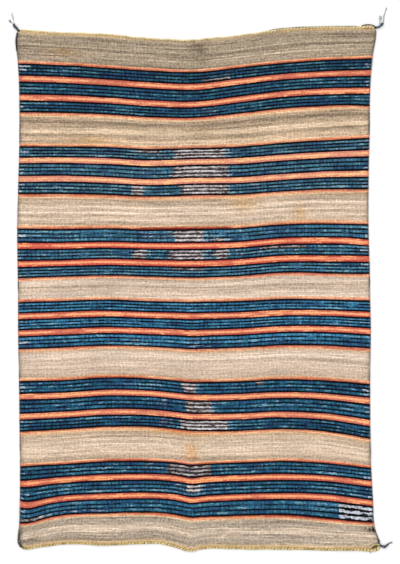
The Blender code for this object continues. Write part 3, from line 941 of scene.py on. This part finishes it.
# Loose strands on the end cords, in millimetres on the cloth's own frame. The lower cord's three are
# a stray hair and the loop with its dark eye.
Strand = namedtuple("Strand", "node yarn radius route")
STRANDS = (
    Strand("end_cord_top", "brown", 1.9,
           ((556, 1739, 4), (563, 1744, 5), (578, 1746.5, 5), (594, 1745, 5), (608, 1739, 4))),
    Strand("end_cord_bottom", "olive", 0.7,
           ((580, -12, 3), (584, -16, 3), (587, -19, 2), (591, -24, 1))),
    Strand("end_cord_bottom", "buff", 2.2,
           ((585, -6, 5), (592, 0.5, 5.5), (602, 5.5, 6), (612, 7.5, 6), (620, 4, 5.5))),
    Strand("end_cord_bottom", "brown", 3.0,
           ((591, -3.6, 4.5), (598, -1.8, 5), (605, 0, 5), (611, 1.8, 4.5))),
)

# The drab yarn that lies along the outer side of the upper cord, from its right end, in metres.
LAID_FROM = 0.04
LAID_TO = 0.36
LAID_OUTSIDE = 0.0049
LAID_RADIUS = 0.0015

# The lumps of each knot, in millimetres. Their places are from the knot's own centre, their sizes are
# half sizes, and their lengths point the way that turn_deg says, counter-clockwise from the right.
Lump = namedtuple("Lump", "node yarn x y long wide high turn_deg")
LUMPS = (
    Lump("tassel_top_left", "earthy", 0, -1, 4.6, 4.0, 3.6, 140),
    Lump("tassel_top_left", "slate", -6, 6.5, 6.8, 3.6, 4.2, 122),
    Lump("tassel_top_left", "slate", -13, 13.5, 7.4, 4.1, 4.6, 112),
    Lump("tassel_top_right", "earthy", 0, -1, 4.4, 3.2, 3.4, 10),
    Lump("tassel_top_right", "slate", 8, 1.5, 7.2, 3.2, 3.8, 16),
    Lump("tassel_top_right", "slate", 18, 8.5, 8.2, 3.5, 4.4, 42),
    Lump("tassel_bottom_right", "slate", -2, 2, 4.6, 2.8, 3.2, 118),
    Lump("tassel_bottom_right", "earthy", 3, -5, 4.4, 3.4, 3.6, 0),
    Lump("tassel_bottom_right", "slate", 12, -7.5, 7.0, 4.6, 4.4, -12),
    Lump("tassel_bottom_right", "slate", 22, -3.5, 7.0, 3.1, 3.8, 36),
)

# The loose yarn ends, in millimetres, on routes that are measured from the knot's centre.
#   thick   the yarn's width at even places from its root to its tip
# Their two plies turn round each other once in LOOSE_TWIST.
LooseEnd = namedtuple("LooseEnd", "node yarn thick route")
LOOSE_ENDS = (
    LooseEnd("tassel_top_left", "slate", (0.9, 1.2, 3.8, 3.4),
             ((-15, 18), (-19, 22), (-24, 26), (-27, 29), (-30, 33))),
    LooseEnd("tassel_top_left", "pale", (2.6, 2.2, 2.4, 2.2),
             ((-14, 18), (-15, 26), (-17, 36), (-20, 46), (-23, 55))),
    LooseEnd("tassel_top_right", "faded", (4.0, 2.6, 2.2, 2.4),
             ((22, 12), (25, 18), (26, 28), (27, 38), (31, 52), (36, 65))),
    LooseEnd("tassel_top_right", "pale", (5.0, 6.4, 6.0, 5.0),
             ((12, 6), (13, 13), (13, 22), (14, 30), (15, 38))),
    LooseEnd("tassel_bottom_right", "slate", (5.4, 5.0, 3.6, 2.2),
             ((22, -4), (26, 0), (30, 3.5), (34, 5), (39, 5.5))),
)
LOOSE_TWIST = 9
STRAY_FIBRES = 34

# The yarn that is wound round the lumps, and the yarn that binds the rounded corner, in metres. Steps
# are the points in each turn.
WRAP_RADIUS = 0.0013
WRAP_PITCH = 0.0023
WRAP_STEPS = 14
BINDING_RADIUS = 0.0012
BINDING_REACH = 0.023
BINDING_TURNS = 18
BINDING_STEPS = 12
BOUND_RADIUS = 0.0037


def yarn_tube(name, points, radii, material, sides=1):
    """Make a closed tube of yarn along points, with a radius for each."""
    data = bpy.data.curves.new(name, "CURVE")
    data.dimensions = "3D"
    data.twist_mode = "MINIMUM"
    data.bevel_depth = 1.0
    data.bevel_resolution = sides
    data.use_fill_caps = True
    spline = data.splines.new("POLY")
    spline.points.add(len(points) - 1)
    for spot, point, radius in zip(spline.points, points, radii):
        spot.co = (*point, 1)
        spot.radius = radius
    tube = bpy.data.objects.new(name, data)
    bpy.context.scene.collection.objects.link(tube)
    activate(tube)
    bpy.ops.object.convert(target="MESH")
    tube = bpy.context.object
    bpy.ops.object.mode_set(mode="EDIT")
    bpy.ops.mesh.select_all(action="SELECT")
    bpy.ops.mesh.remove_doubles(threshold=1e-6)
    bpy.ops.mesh.normals_make_consistent(inside=False)
    bpy.ops.object.mode_set(mode="OBJECT")
    bpy.ops.object.shade_smooth()
    tube.data.materials.clear()
    tube.data.materials.append(material)
    return tube


def join(name, pieces):
    """Join meshes into one piece, each keeping its own material."""
    deselect()
    for piece in pieces:
        piece.select_set(True)
    bpy.context.view_layer.objects.active = pieces[0]
    bpy.ops.object.join()
    piece = bpy.context.object
    piece.name = name
    return piece


def cord_swell(node, point):
    """Say how much thicker a cord is at a place than it mostly is."""
    swell = 1.0
    along = (point.y if node.startswith("side") else point.x) / MM
    for row in SWELLS:
        if row.node == node:
            swell += row.share * step_up(row.way * (along - row.past), 0, row.soft)
    if node == "end_cord_top":
        swell += 0.14 * wander(point.x, 0.05, 2)
    if node == "end_cord_bottom":
        swell += 0.05 + 0.2 * wander(point.x, 0.035, 2)
    return swell


def ply_share(node, index, point):
    """Say how thick a ply is at a place: the upper cord's olive ply is thin in its left part."""
    if node == "end_cord_top" and index == 2:
        return 0.45 + 0.55 * step_up(point.x / MM, 240, 12)
    return 1.0


def laid_yarn(edge, start, end, material, shift):
    """Lay a yarn along the outer side of a cord."""
    steps = round((end - start) / (4 * MM))
    points = []
    radii = []
    for step in range(steps + 1):
        distance = start + (end - start) * step / steps
        point, outward = edge.read(distance)
        out = LAID_OUTSIDE + 0.5 * MM * wander(distance, 0.025, 4)
        points.append(point + outward * out + Vector((0, 0, 0.004)) + shift)
        taper = min(step, steps - step, 6) / 6
        radii.append(LAID_RADIUS * taper * (1 + 0.35 * wander(distance, 0.02, 5)))
    return yarn_tube("laid_yarn", points, radii, material)


def make_cord(cord, edge, start, end, wool, shift):
    """Twist a cord's plies round a stretch of the cloth's edge."""
    if end < start:
        end += edge.length
    steps = round((end - start) / CORD_PITCH * CORD_STEPS)
    tubes = []
    for index, ply in enumerate(cord.plies):
        radius = ply.radius * MM
        spread = ply.spread * MM
        points = []
        radii = []
        for step in range(steps + 1):
            distance = start + (end - start) * step / steps
            point, outward = edge.read(distance)
            swell = cord_swell(cord.node, point)
            slack = 1 + 0.2 * wander(distance, 0.03, index + 3)
            slack += 0.15 * wander(distance, 0.008, index + 5)
            turn = 2 * math.pi * (distance / CORD_PITCH + index / len(cord.plies))
            turn += 0.5 * wander(distance, 0.06, 8)
            outside = CORD_RADIUS * swell + 0.4 * MM * wander(distance, 0.02, 1)
            side = outward * (outside + spread * swell * math.cos(turn))
            lift = radius * swell + spread * swell * (1 + math.sin(turn))
            points.append(point + side + Vector((0, 0, lift)) + shift)
            taper = 0.55 + 0.45 * min(step, steps - step, 4) / 4
            radii.append(radius * swell * slack * ply_share(cord.node, index, point) * taper)
        tubes.append(yarn_tube(f"{cord.node}_ply", points, radii, wool[ply.yarn]))
    return join("plied_" + cord.node, tubes)


def weft_on_cord(line, along):
    """Say how the wefts of a line look where they turn round a side cord."""
    if line.yarn == "undyed":
        shaded = 0.56 + 0.5 * wander(along, 40, 5)
        return mix(band_tone(line.group, line.share), srgb(CORD_SLATE), shaded)
    group = GROUPS[line.group - 1]
    if line.yarn == "dark":
        return mix(srgb(group.dark), srgb(CORD_RUBBED), 0.15)
    if line.yarn == "blue":
        return mix(srgb(group.blue), srgb(CORD_RUBBED), 0.45)
    return mix(mix(srgb(group.gold), srgb(group.red), 0.5), srgb(CORD_SLATE), 0.15)


def colour_selvage(piece, node, shift):
    """Give a side cord the colours of the wefts that turn round it."""
    across = 0.0 if node == "side_cord_left" else 1.0
    lines = weave_lines()
    lows = [-line.low for line in lines]
    rows = [Weft(along) for along in even_places(CLOTH_LENGTH, SELVAGE_STEP)]
    heights = [row.point(across).y + shift.y for row in rows]
    alongs = [row.along / MM for row in rows]
    colours = np.ones((len(piece.data.vertices), 4))
    for vertex in piece.data.vertices:
        along = float(np.interp(vertex.co.y, heights, alongs))
        along += 1.6 * wander(vertex.co.y, 0.006, 3)
        line = lines[min(bisect.bisect_left(lows, -along), len(lines) - 1)]
        colour = weft_on_cord(line, along)
        for row in DARK_STRETCHES:
            if row.node == node and row.low <= along < row.high:
                colour = mix(colour, srgb(CORD_SLATE), row.share + row.uneven * wander(along, 9, 6))
        colours[vertex.index, :3] = colour
    attribute = piece.data.color_attributes.new("yarn", "FLOAT_COLOR", "POINT")
    attribute.data.foreach_set("color", colours.reshape(-1))


def route_point(route, share):
    """Read a smooth curve through a route's points, which are in millimetres."""
    places = [i / (len(route) - 1) for i in range(len(route))]
    return Vector([smooth_value(places, values, share) * MM for values in zip(*route)]).to_3d()


def route_place(route, centre, share):
    """Find a place on a route about a centre, the way on from there and the way to its left."""
    here = centre + route_point(route, share)
    forward = (centre + route_point(route, share + 0.02) - here).normalized()
    return here, forward, Vector((-forward.y, forward.x, 0))


def strand(route, radius, material, shift):
    """Lay one loose strand along a route on the cloth's own frame, in millimetres."""
    steps = 8 * (len(route) - 1)
    points = []
    radii = []
    for step in range(steps + 1):
        share = step / steps
        points.append(route_point(route, share) + shift)
        radii.append(radius * MM * (0.45 + 0.55 * min(share, 1 - share, 0.12) / 0.12))
    return yarn_tube("strand", points, radii, material)


def wound_lump(lump, centre, material):
    """Wind yarn round one lump of a knot."""
    turn = math.radians(lump.turn_deg)
    axis = Vector((math.cos(turn), math.sin(turn), 0))
    across = Vector((-math.sin(turn), math.cos(turn), 0))
    middle = centre + Vector((lump.x * MM, lump.y * MM, lump.high * MM))
    reach = (lump.long + 0.4) * MM
    turns = max(round(2 * reach / WRAP_PITCH), 3)
    steps = turns * WRAP_STEPS
    points = []
    radii = []
    for step in range(steps + 1):
        share = step / steps
        place = -reach + 2 * reach * share
        bulge = math.sqrt(max(1 - (place / (reach * 1.12)) ** 2, 0.05))
        angle = 2 * math.pi * turns * share
        wide = (lump.wide + 0.9) * MM * bulge - WRAP_RADIUS
        high = lump.high * MM * bulge - WRAP_RADIUS
        lean = 0.9 * MM * math.sin(angle)
        points.append(
            middle + axis * (place + lean) + across * wide * math.cos(angle)
            + Vector((0, 0, high * math.sin(angle)))
        )
        radii.append(WRAP_RADIUS * (1 + 0.25 * wander(share, 0.05, lump.x)))
    core = [middle + axis * reach * s for s in (-0.8, -0.3, 0.3, 0.8)]
    core_thick = [min(lump.wide, lump.high) * MM * s for s in (0.5, 0.8, 0.8, 0.5)]
    return [
        yarn_tube("wrap", points, radii, material),
        yarn_tube("core", core, core_thick, material, 2),
    ]


def bound_corner(edge, middle, wool, shift):
    """Bind yarn closely round the cloth's rounded corner, over the ends of its cords."""
    tubes = []
    for yarn, first, last in (("speckled", 0.42, 1.0), ("bound", 0.0, 0.46)):
        turns = round(BINDING_TURNS * (last - first))
        steps = turns * BINDING_STEPS
        points = []
        radii = []
        core = []
        for step in range(steps + 1):
            share = first + (last - first) * step / steps
            point, outward = edge.read(middle - BINDING_REACH * (2 * share - 1))
            outward = outward.normalized()
            angle = 2 * math.pi * turns * step / steps
            swell = BOUND_RADIUS * (1 + 0.3 * wander(share, 0.12, 4))
            swell *= 0.72 + 0.28 * math.sin(math.pi * share)
            centre = point + outward * 1.4 * MM + shift
            around = outward * swell * math.cos(angle)
            lift = Vector((0, 0, swell * (1 + math.sin(angle)) + BINDING_RADIUS * 0.6))
            points.append(centre + around + lift)
            radii.append(BINDING_RADIUS * (1 + 0.5 * wander(share, 0.03, 6)))
            if step % BINDING_STEPS == 0:
                core.append(centre + Vector((0, 0, BOUND_RADIUS)))
        tubes.append(yarn_tube("binding", points, radii, wool[yarn]))
        tubes.append(yarn_tube("core", core, [BOUND_RADIUS * 0.8] * len(core), wool[yarn], 2))
    return tubes


def loose_yarn(end, centre, material, fibre_material, draws):
    """Twist the plies of one loose yarn end, with stray fibres along it."""
    tubes = []
    plies = 2
    length = sum((Vector(a) - Vector(b)).length for a, b in zip(end.route, end.route[1:]))
    steps = round(length * 1.4)
    even = [i / (len(end.thick) - 1) for i in range(len(end.thick))]
    for ply in range(plies):
        points = []
        radii = []
        for step in range(steps + 1):
            share = step / steps
            thick = smooth_value(even, end.thick, share)
            spread = 0.22 * thick * MM
            turn = 2 * math.pi * (share * length / LOOSE_TWIST + ply / plies)
            here, _, side = route_place(end.route, centre, share)
            lift = Vector((0, 0, max(end.thick) * MM / 2 + spread * math.sin(turn)))
            points.append(here + side * spread * math.cos(turn) + lift)
            radii.append(0.29 * thick * MM * (1 - 0.4 * share ** 6))
        tubes.append(yarn_tube("ply", points, radii, material))
    for _ in range(STRAY_FIBRES):
        start = draws.uniform(0.25, 1.0) ** 0.6
        here, forward, side = route_place(end.route, centre, start)
        lean = draws.uniform(-0.6, 0.6)
        reach = draws.uniform(3.0, 8.0) * MM
        thick = smooth_value(even, end.thick, start)
        height = max(thick * draws.uniform(0.3, 0.8), 0.35) * MM
        offset = side * thick * 0.45 * MM * math.copysign(1, lean)
        points = []
        for i in range(5):
            out = reach * i / 4
            bend = lean * out + draws.uniform(-0.25, 0.25) * MM
            points.append(here + offset + forward * out + side * bend + Vector((0, 0, height)))
        radii = [0.3 * MM * (1 - 0.16 * i) for i in range(5)]
        tubes.append(yarn_tube("fibre", points, radii, fibre_material, 0))
    return tubes


def knot_places(edge):
    """Find each corner's knot: its distance along the edge and its centre on the surface."""
    places = {}
    for index, corner in enumerate(CORNERS):
        distance = edge.distance[edge.corner_at[index]] + corner.past * MM
        point, outward = edge.read(distance)
        centre = point + outward.normalized() * corner.stand * MM
        places[corner.knot] = (distance, Vector((centre.x, centre.y, 0.0)))
    return places


def add_node(tree, kind, inputs=(), output=0, **settings):
    """Add a node with its settings, each input's value or link, and return one of its outputs."""
    node = tree.nodes.new("ShaderNode" + kind)
    for name, value in settings.items():
        setattr(node, name, value)
    for socket, value in dict(inputs).items():
        if isinstance(value, bpy.types.NodeSocket):
            tree.links.new(value, node.inputs[socket])
        else:
            node.inputs[socket].default_value = value
    return node.outputs[output]


def wool_shader(name, roughness, sheen):
    """Start a wool material: a matt fibre surface with a soft sheen from its loose hairs."""
    material = bpy.data.materials.new(name)
    material.use_nodes = True
    tree = material.node_tree
    shader = tree.nodes["Principled BSDF"]
    shader.inputs["Roughness"].default_value = roughness
    shader.inputs["Specular IOR Level"].default_value = 0.1
    shader.inputs["Sheen Weight"].default_value = sheen
    shader.inputs["Sheen Roughness"].default_value = 0.6
    return material, tree, shader


# Random patches over the wool: their size along each axis in millimetres, the two values that they
# run between, and how much smaller patches add to them. Along the web's own axes, the weft is first.
#   sway      how the edges of a line waver
#   streak    thicker and thinner spins along the weft
#   speckle   lumps of the spin
#   hair      loose hairs; real ones are 0.04 mm thick, so they are drawn coarse enough to show
#   cloud     broad, faint patches of wear
#   stray     how the warps leave their even spacing
#   bead_glint painted highlights where the weft of a dark line rises over a warp and catches the light
Pattern = namedtuple("Pattern", "size low high detail roughness", defaults=(0.55,))
WEB_PATTERNS = {
    "sway": Pattern((14.286, 8.3333, 1000), -0.22, 0.22, 1.0),
    "streak": Pattern((33.333, 2.38095, 1000), 0.84, 1.16, 2.0, 0.6),
    "speckle": Pattern((5.8824, 8.3333, 1000), 0.76, 1.24, 1.0),
    "hair": Pattern((3.0303, 2.0, 1000), 0.82, 1.18, 2.0),
    "cloud": Pattern((166.67, 111.11, 1000), 0.95, 1.05, 1.0),
    "stray": Pattern((41.667, 33.333, 1000), -2.6, 2.6, 1.0),
    "bead_glint": Pattern((8.0, 29.412, 1000), -0.40, 0.40, 1.0),
}
SPUN_FLECKS = Pattern((1000, 1000, 1000), 0.0, 1.0, 2.0, 0.6)
YARN_GRAIN = Pattern((1.1111,) * 3, 0.75, 1.25, 2.0)
SELVAGE_GRAIN = Pattern((2.0,) * 3, 0.72, 1.28, 2.0)

# The real ribs lie 4 to 6 mm apart and the picks are 1 mm high, too fine for the picture.
RIB_SPACING = 0.0126
PICK_HEIGHT = 0.0029


def wool_patches(tree, place, pattern):
    """Lay random patches over a material, as values from a pattern's low to its high one."""
    scale = [1 / (size * MM) for size in pattern.size]
    stretched = add_node(tree, "Mapping", {"Vector": place, "Scale": scale})
    noise_inputs = {"Scale": 1.0, "Detail": pattern.detail, "Roughness": pattern.roughness}
    grain = add_node(tree, "TexNoise", {"Vector": stretched, **noise_inputs})
    spread = {"From Min": 0.28, "From Max": 0.72, "To Min": pattern.low, "To Max": pattern.high}
    return add_node(tree, "MapRange", {"Value": grain, **spread})


def finish_wool(tree, shader, colour, height, strength, distance):
    """Give a wool shader its colour and the relief of its yarn."""
    relief = {"Height": height, "Strength": strength, "Distance": distance}
    tree.links.new(colour, shader.inputs["Base Color"])
    tree.links.new(add_node(tree, "Bump", relief, "Normal"), shader.inputs["Normal"])


def web_material():
    """Handspun wool, tapestry woven: the weft covers the warp in low ribs.

    The yarn's tone changes from spin to spin, so each weft line is streaked along its length. The
    ribs and the picks are drawn coarser than they are, so that they show.
    """
    material, tree, shader = wool_shader("handspun_wool_tapestry_weave", 0.93, 0.03)
    add = partial(add_node, tree)
    yarn = add("VertexColor", layer_name="yarn")
    fleck = add("VertexColor", layer_name="fleck")
    fleck_share = add("VertexColor", output="Alpha", layer_name="fleck")
    turn = add("Attribute", output="Fac", attribute_name="turn")
    uv = add("UVMap", uv_map="weave")
    patches = {name: wool_patches(tree, uv, row) for name, row in WEB_PATTERNS.items()}

    # Across a line the yarn is round: edge is 0 in its middle and 1 at both its edges. The colour is
    # painted darker towards both edges, as painted shade on the round yarn.
    middle = add("Math", {0: turn, 1: patches["sway"]}, operation="ADD")
    middle = add("Math", {0: middle, 1: 0.5}, operation="SUBTRACT")
    side = add("Math", {0: middle}, operation="ABSOLUTE")
    edge = add("Math", {0: side, 1: 3}, operation="POWER")
    edge = add("Math", {0: edge, 1: 8}, operation="MULTIPLY")
    painted_round_shade = add("MapRange", {"Value": edge, "To Min": 1.06, "To Max": 0.62})

    # Flecks are drawn-out spins, 22 mm long and 3 mm high, that keep to the middle of a line.
    drawn_out = add(
        "Mapping", {"Vector": uv, "Rotation": (0, 0, math.radians(3)), "Scale": (0.022, 0.003, 1)},
        vector_type="TEXTURE",
    )
    spun = wool_patches(tree, drawn_out, SPUN_FLECKS)
    over = add("Math", {0: fleck_share, 1: 1.35, 2: spun}, operation="MULTIPLY_ADD")
    over = add("Math", {0: edge, 1: -0.75, 2: over}, operation="MULTIPLY_ADD")
    shown = add("MapRange", {"Value": over, "From Min": 0.95, "From Max": 1.2})
    dyed = add("Mix", {0: shown, 6: yarn, 7: fleck}, 2, data_type="RGBA")

    # The ribs stray with the warps, and the picks lean as they pass over each rib.
    across = add("SeparateXYZ", {"Vector": uv}, "X")
    along = add("SeparateXYZ", {"Vector": uv}, "Y")
    rib = {0: across, 1: 2 * math.pi / RIB_SPACING, 2: patches["stray"]}
    rib = add("Math", {0: add("Math", rib, operation="MULTIPLY_ADD")}, operation="COSINE")
    lean = add("Math", {0: rib, 1: 0.9}, operation="MULTIPLY")
    pick = {0: along, 1: 2 * math.pi / PICK_HEIGHT, 2: lean}
    pick = add("Math", {0: add("Math", pick, operation="MULTIPLY_ADD")}, operation="COSINE")

    # Ribs show most on dark yarn, and dark yarn is the most unevenly spun. The ribs' shade and the
    # highlights where dark weft rises over a warp are painted into the colour.
    red = add("SeparateColor", {"Color": dyed}, "Red")
    dark = add("MapRange", {"Value": red, "From Min": 0.05, "From Max": 0.3, "To Min": 1, "To Max": 0})
    rough = {"Value": red, "From Min": 0.3, "From Max": 0.7, "To Min": 1.5, "To Max": 0.8}
    rough = add("MapRange", rough)
    depth = add("Math", {0: dark, 1: 0.14, 2: 0.05}, operation="MULTIPLY_ADD")
    # Painted shade and painted highlights of the ribs.
    painted_rib_light = add("Math", {0: rib, 1: depth, 2: 1.0}, operation="MULTIPLY_ADD")
    painted_rib_light = add("Math", {0: patches["bead_glint"], 1: dark, 2: painted_rib_light}, operation="MULTIPLY_ADD")
    uneven = add("Math", {0: patches["speckle"], 1: 1.0}, operation="SUBTRACT")
    uneven = add("Math", {0: uneven, 1: rough, 2: 1.0}, operation="MULTIPLY_ADD")

    tone = patches["streak"]
    for factor in (patches["hair"], uneven, patches["cloud"], painted_rib_light, painted_round_shade):
        tone = add("Math", {0: tone, 1: factor}, operation="MULTIPLY")
    colour = add("VectorMath", {0: dyed, 1: tone}, operation="MULTIPLY")
    height = add("Math", {0: edge, 1: -1.0}, operation="MULTIPLY")
    for part, share in ((rib, 0.45), (pick, 0.3), (patches["speckle"], 1.2), (patches["streak"], 1.0)):
        height = add("Math", {0: part, 1: share, 2: height}, operation="MULTIPLY_ADD")
    finish_wool(tree, shader, colour, height, 0.45, 0.0007)
    return material


def yarn_material(yarn):
    """Plied wool yarn, dyed unevenly: its tones run from dark to light in patches along the yarn.

    Fibres of 0.04 mm don't show, so the grain is drawn about 0.5 mm wide.
    """
    material, tree, shader = wool_shader(yarn.finish, 0.9, 0.15)
    place = add_node(tree, "TexCoord", output="Object")
    patches = wool_patches(tree, place, Pattern((yarn.patch,) * 3, 0.0, 1.0, 2.0))
    dyed = add_node(tree, "ValToRGB", {"Fac": patches})
    stops = dyed.node.color_ramp.elements
    stops[0].color = (*srgb(yarn.tones[0]), 1)
    stops[1].color = (*srgb(yarn.tones[-1]), 1)
    for i, tone in enumerate(yarn.tones[1:-1], 1):
        stop = stops.new(i / (len(yarn.tones) - 1))
        stop.color = (*srgb(tone), 1)
    grain = wool_patches(tree, place, YARN_GRAIN)
    colour = add_node(tree, "VectorMath", {0: dyed, 1: grain}, operation="MULTIPLY")
    finish_wool(tree, shader, colour, grain, 0.6, 0.0005)
    return material


def selvage_material():
    """Plied wool under the turns of the wefts: their colours show on it, dulled by handling.

    Its fibres don't show either, so the grain is drawn about 1 mm wide.
    """
    material, tree, shader = wool_shader("selvage_plied_wool", 0.92, 0.03)
    yarn = add_node(tree, "VertexColor", layer_name="yarn")
    place = add_node(tree, "TexCoord", output="Object")
    grain = wool_patches(tree, place, SELVAGE_GRAIN)
    colour = add_node(tree, "VectorMath", {0: yarn, 1: grain}, operation="MULTIPLY")
    finish_wool(tree, shader, colour, grain, 0.6, 0.0005)
    return material


def make_floor():
    """Lay a plain pale floor under everything."""
    deselect()
    bpy.ops.mesh.primitive_plane_add(size=FLOOR_SIZE, location=(0, 0, FLOOR_HEIGHT))
    floor = bpy.context.object
    floor.name = "floor"
    material = bpy.data.materials.new("matt_white_paper_floor")
    material.use_nodes = True
    shader = material.node_tree.nodes["Principled BSDF"]
    shader.inputs["Base Color"].default_value = (0.95, 0.95, 0.95, 1)
    shader.inputs["Roughness"].default_value = 0.95
    shader.inputs["Specular IOR Level"].default_value = 0.0
    floor.data.materials.append(material)


def make_light():
    """Light the blanket softly from the upper left, with an even fill."""
    world = bpy.data.worlds.new("soft_studio")
    bpy.context.scene.world = world
    world.use_nodes = True
    background = world.node_tree.nodes["Background"]
    background.inputs["Color"].default_value = (1, 1, 1, 1)
    background.inputs["Strength"].default_value = 0.78
    key = bpy.data.lights.new("key", "SUN")
    key.energy = 1.35
    key.angle = math.radians(50)
    lamp = bpy.data.objects.new("key", key)
    bpy.context.scene.collection.objects.link(lamp)
    lamp.location = (-2.2, 2.6, 4.0)
    lamp.rotation_euler = lamp.location.to_track_quat("Z", "Y").to_euler()


def make_camera():
    """Look straight down on the face, framed as the photo is."""
    data = bpy.data.cameras.new("camera")
    data.sensor_fit = "VERTICAL"
    data.sensor_height = 24
    data.lens = data.sensor_height * CAMERA_HEIGHT / (PHOTO_HEIGHT * PIXEL)
    camera = bpy.data.objects.new("camera", data)
    camera.location = (-CLOTH_RIGHT * PIXEL, -CLOTH_ABOVE * PIXEL, CAMERA_HEIGHT)
    bpy.context.scene.collection.objects.link(camera)
    bpy.context.scene.camera = camera


def shift_mesh(piece, shift):
    """Move a finished piece within its own mesh."""
    for vertex in piece.data.vertices:
        vertex.co += shift


def present(piece, node):
    """Let a finished piece stand for its solid. No fibre of it dips under the floor."""
    places = np.zeros(len(piece.data.vertices) * 3)
    piece.data.vertices.foreach_get("co", places)
    places[2::3] = np.maximum(places[2::3], 0.0)
    piece.data.vertices.foreach_set("co", places)
    piece.data.update()
    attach(piece, "root")
    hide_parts(node)


def dress_web():
    """Weave the web and centre it on its solid. Return it with the way that it was moved."""
    web = make_web(web_material())
    own = [Vector(corner) for corner in web.bound_box]
    own_low = Vector((min(corner[k] for corner in own) for k in range(3)))
    own_high = Vector((max(corner[k] for corner in own) for k in range(3)))
    cad_low, cad_high = (Vector(corner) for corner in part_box("web"))
    shift = (cad_low + cad_high - own_low - own_high) / 2
    shift.z = 0
    shift_mesh(web, shift)
    present(web, "web")
    return web, shift


def dress_cords(edge, knots, wool, shift):
    """Lay the four cords between the knots, with the strands that belong to them."""
    clearance = CORD_RADIUS / 2 + PIECE_GAP
    for index, cord in enumerate(CORDS):
        here = CORNERS[index]
        following = CORNERS[(index + 1) % len(CORNERS)]
        start = knots[here.knot][0] + here.reach * MM + clearance
        end = knots[following.knot][0] - following.reach * MM - clearance
        piece = make_cord(cord, edge, start, end % edge.length, wool, shift)
        if cord.plies == SIDE_PLIES:
            colour_selvage(piece, cord.node, shift)
        extras = [strand(s.route, s.radius, wool[s.yarn], shift) for s in STRANDS if s.node == cord.node]
        if cord.node == "end_cord_top":
            extras.append(laid_yarn(edge, start + LAID_FROM, start + LAID_TO, wool["drab"], shift))
        if extras:
            piece = join(piece.name, [piece] + extras)
        present(piece, cord.node)


def dress_knots(edge, knots, wool, shift):
    """Tie the three tassels and bind the corner that has none."""
    draws = random.Random(7)
    for node, (distance, centre) in knots.items():
        if node.startswith("corner"):
            pieces = bound_corner(edge, distance, wool, shift)
            present(join("bound_corner", pieces), node)
            continue
        pieces = []
        for lump in LUMPS:
            if lump.node == node:
                pieces += wound_lump(lump, centre + shift, wool[lump.yarn])
        for end in LOOSE_ENDS:
            if end.node == node:
                pieces += loose_yarn(end, centre + shift, wool[end.yarn], wool["pale"], draws)
        present(join("wound_" + node, pieces), node)


def main():
    """Dress every solid, then set the floor, the light and the camera."""
    wool = {name: yarn_material(yarn) for name, yarn in YARNS.items()}
    wool["selvage"] = selvage_material()
    web, shift = dress_web()
    edge = Edge()
    knots = knot_places(edge)
    dress_cords(edge, knots, wool, shift)
    dress_knots(edge, knots, wool, shift)
    make_floor()
    make_light()
    make_camera()
    bpy.context.scene.view_settings.view_transform = "Standard"


main()
bpy.context.view_layer.update()
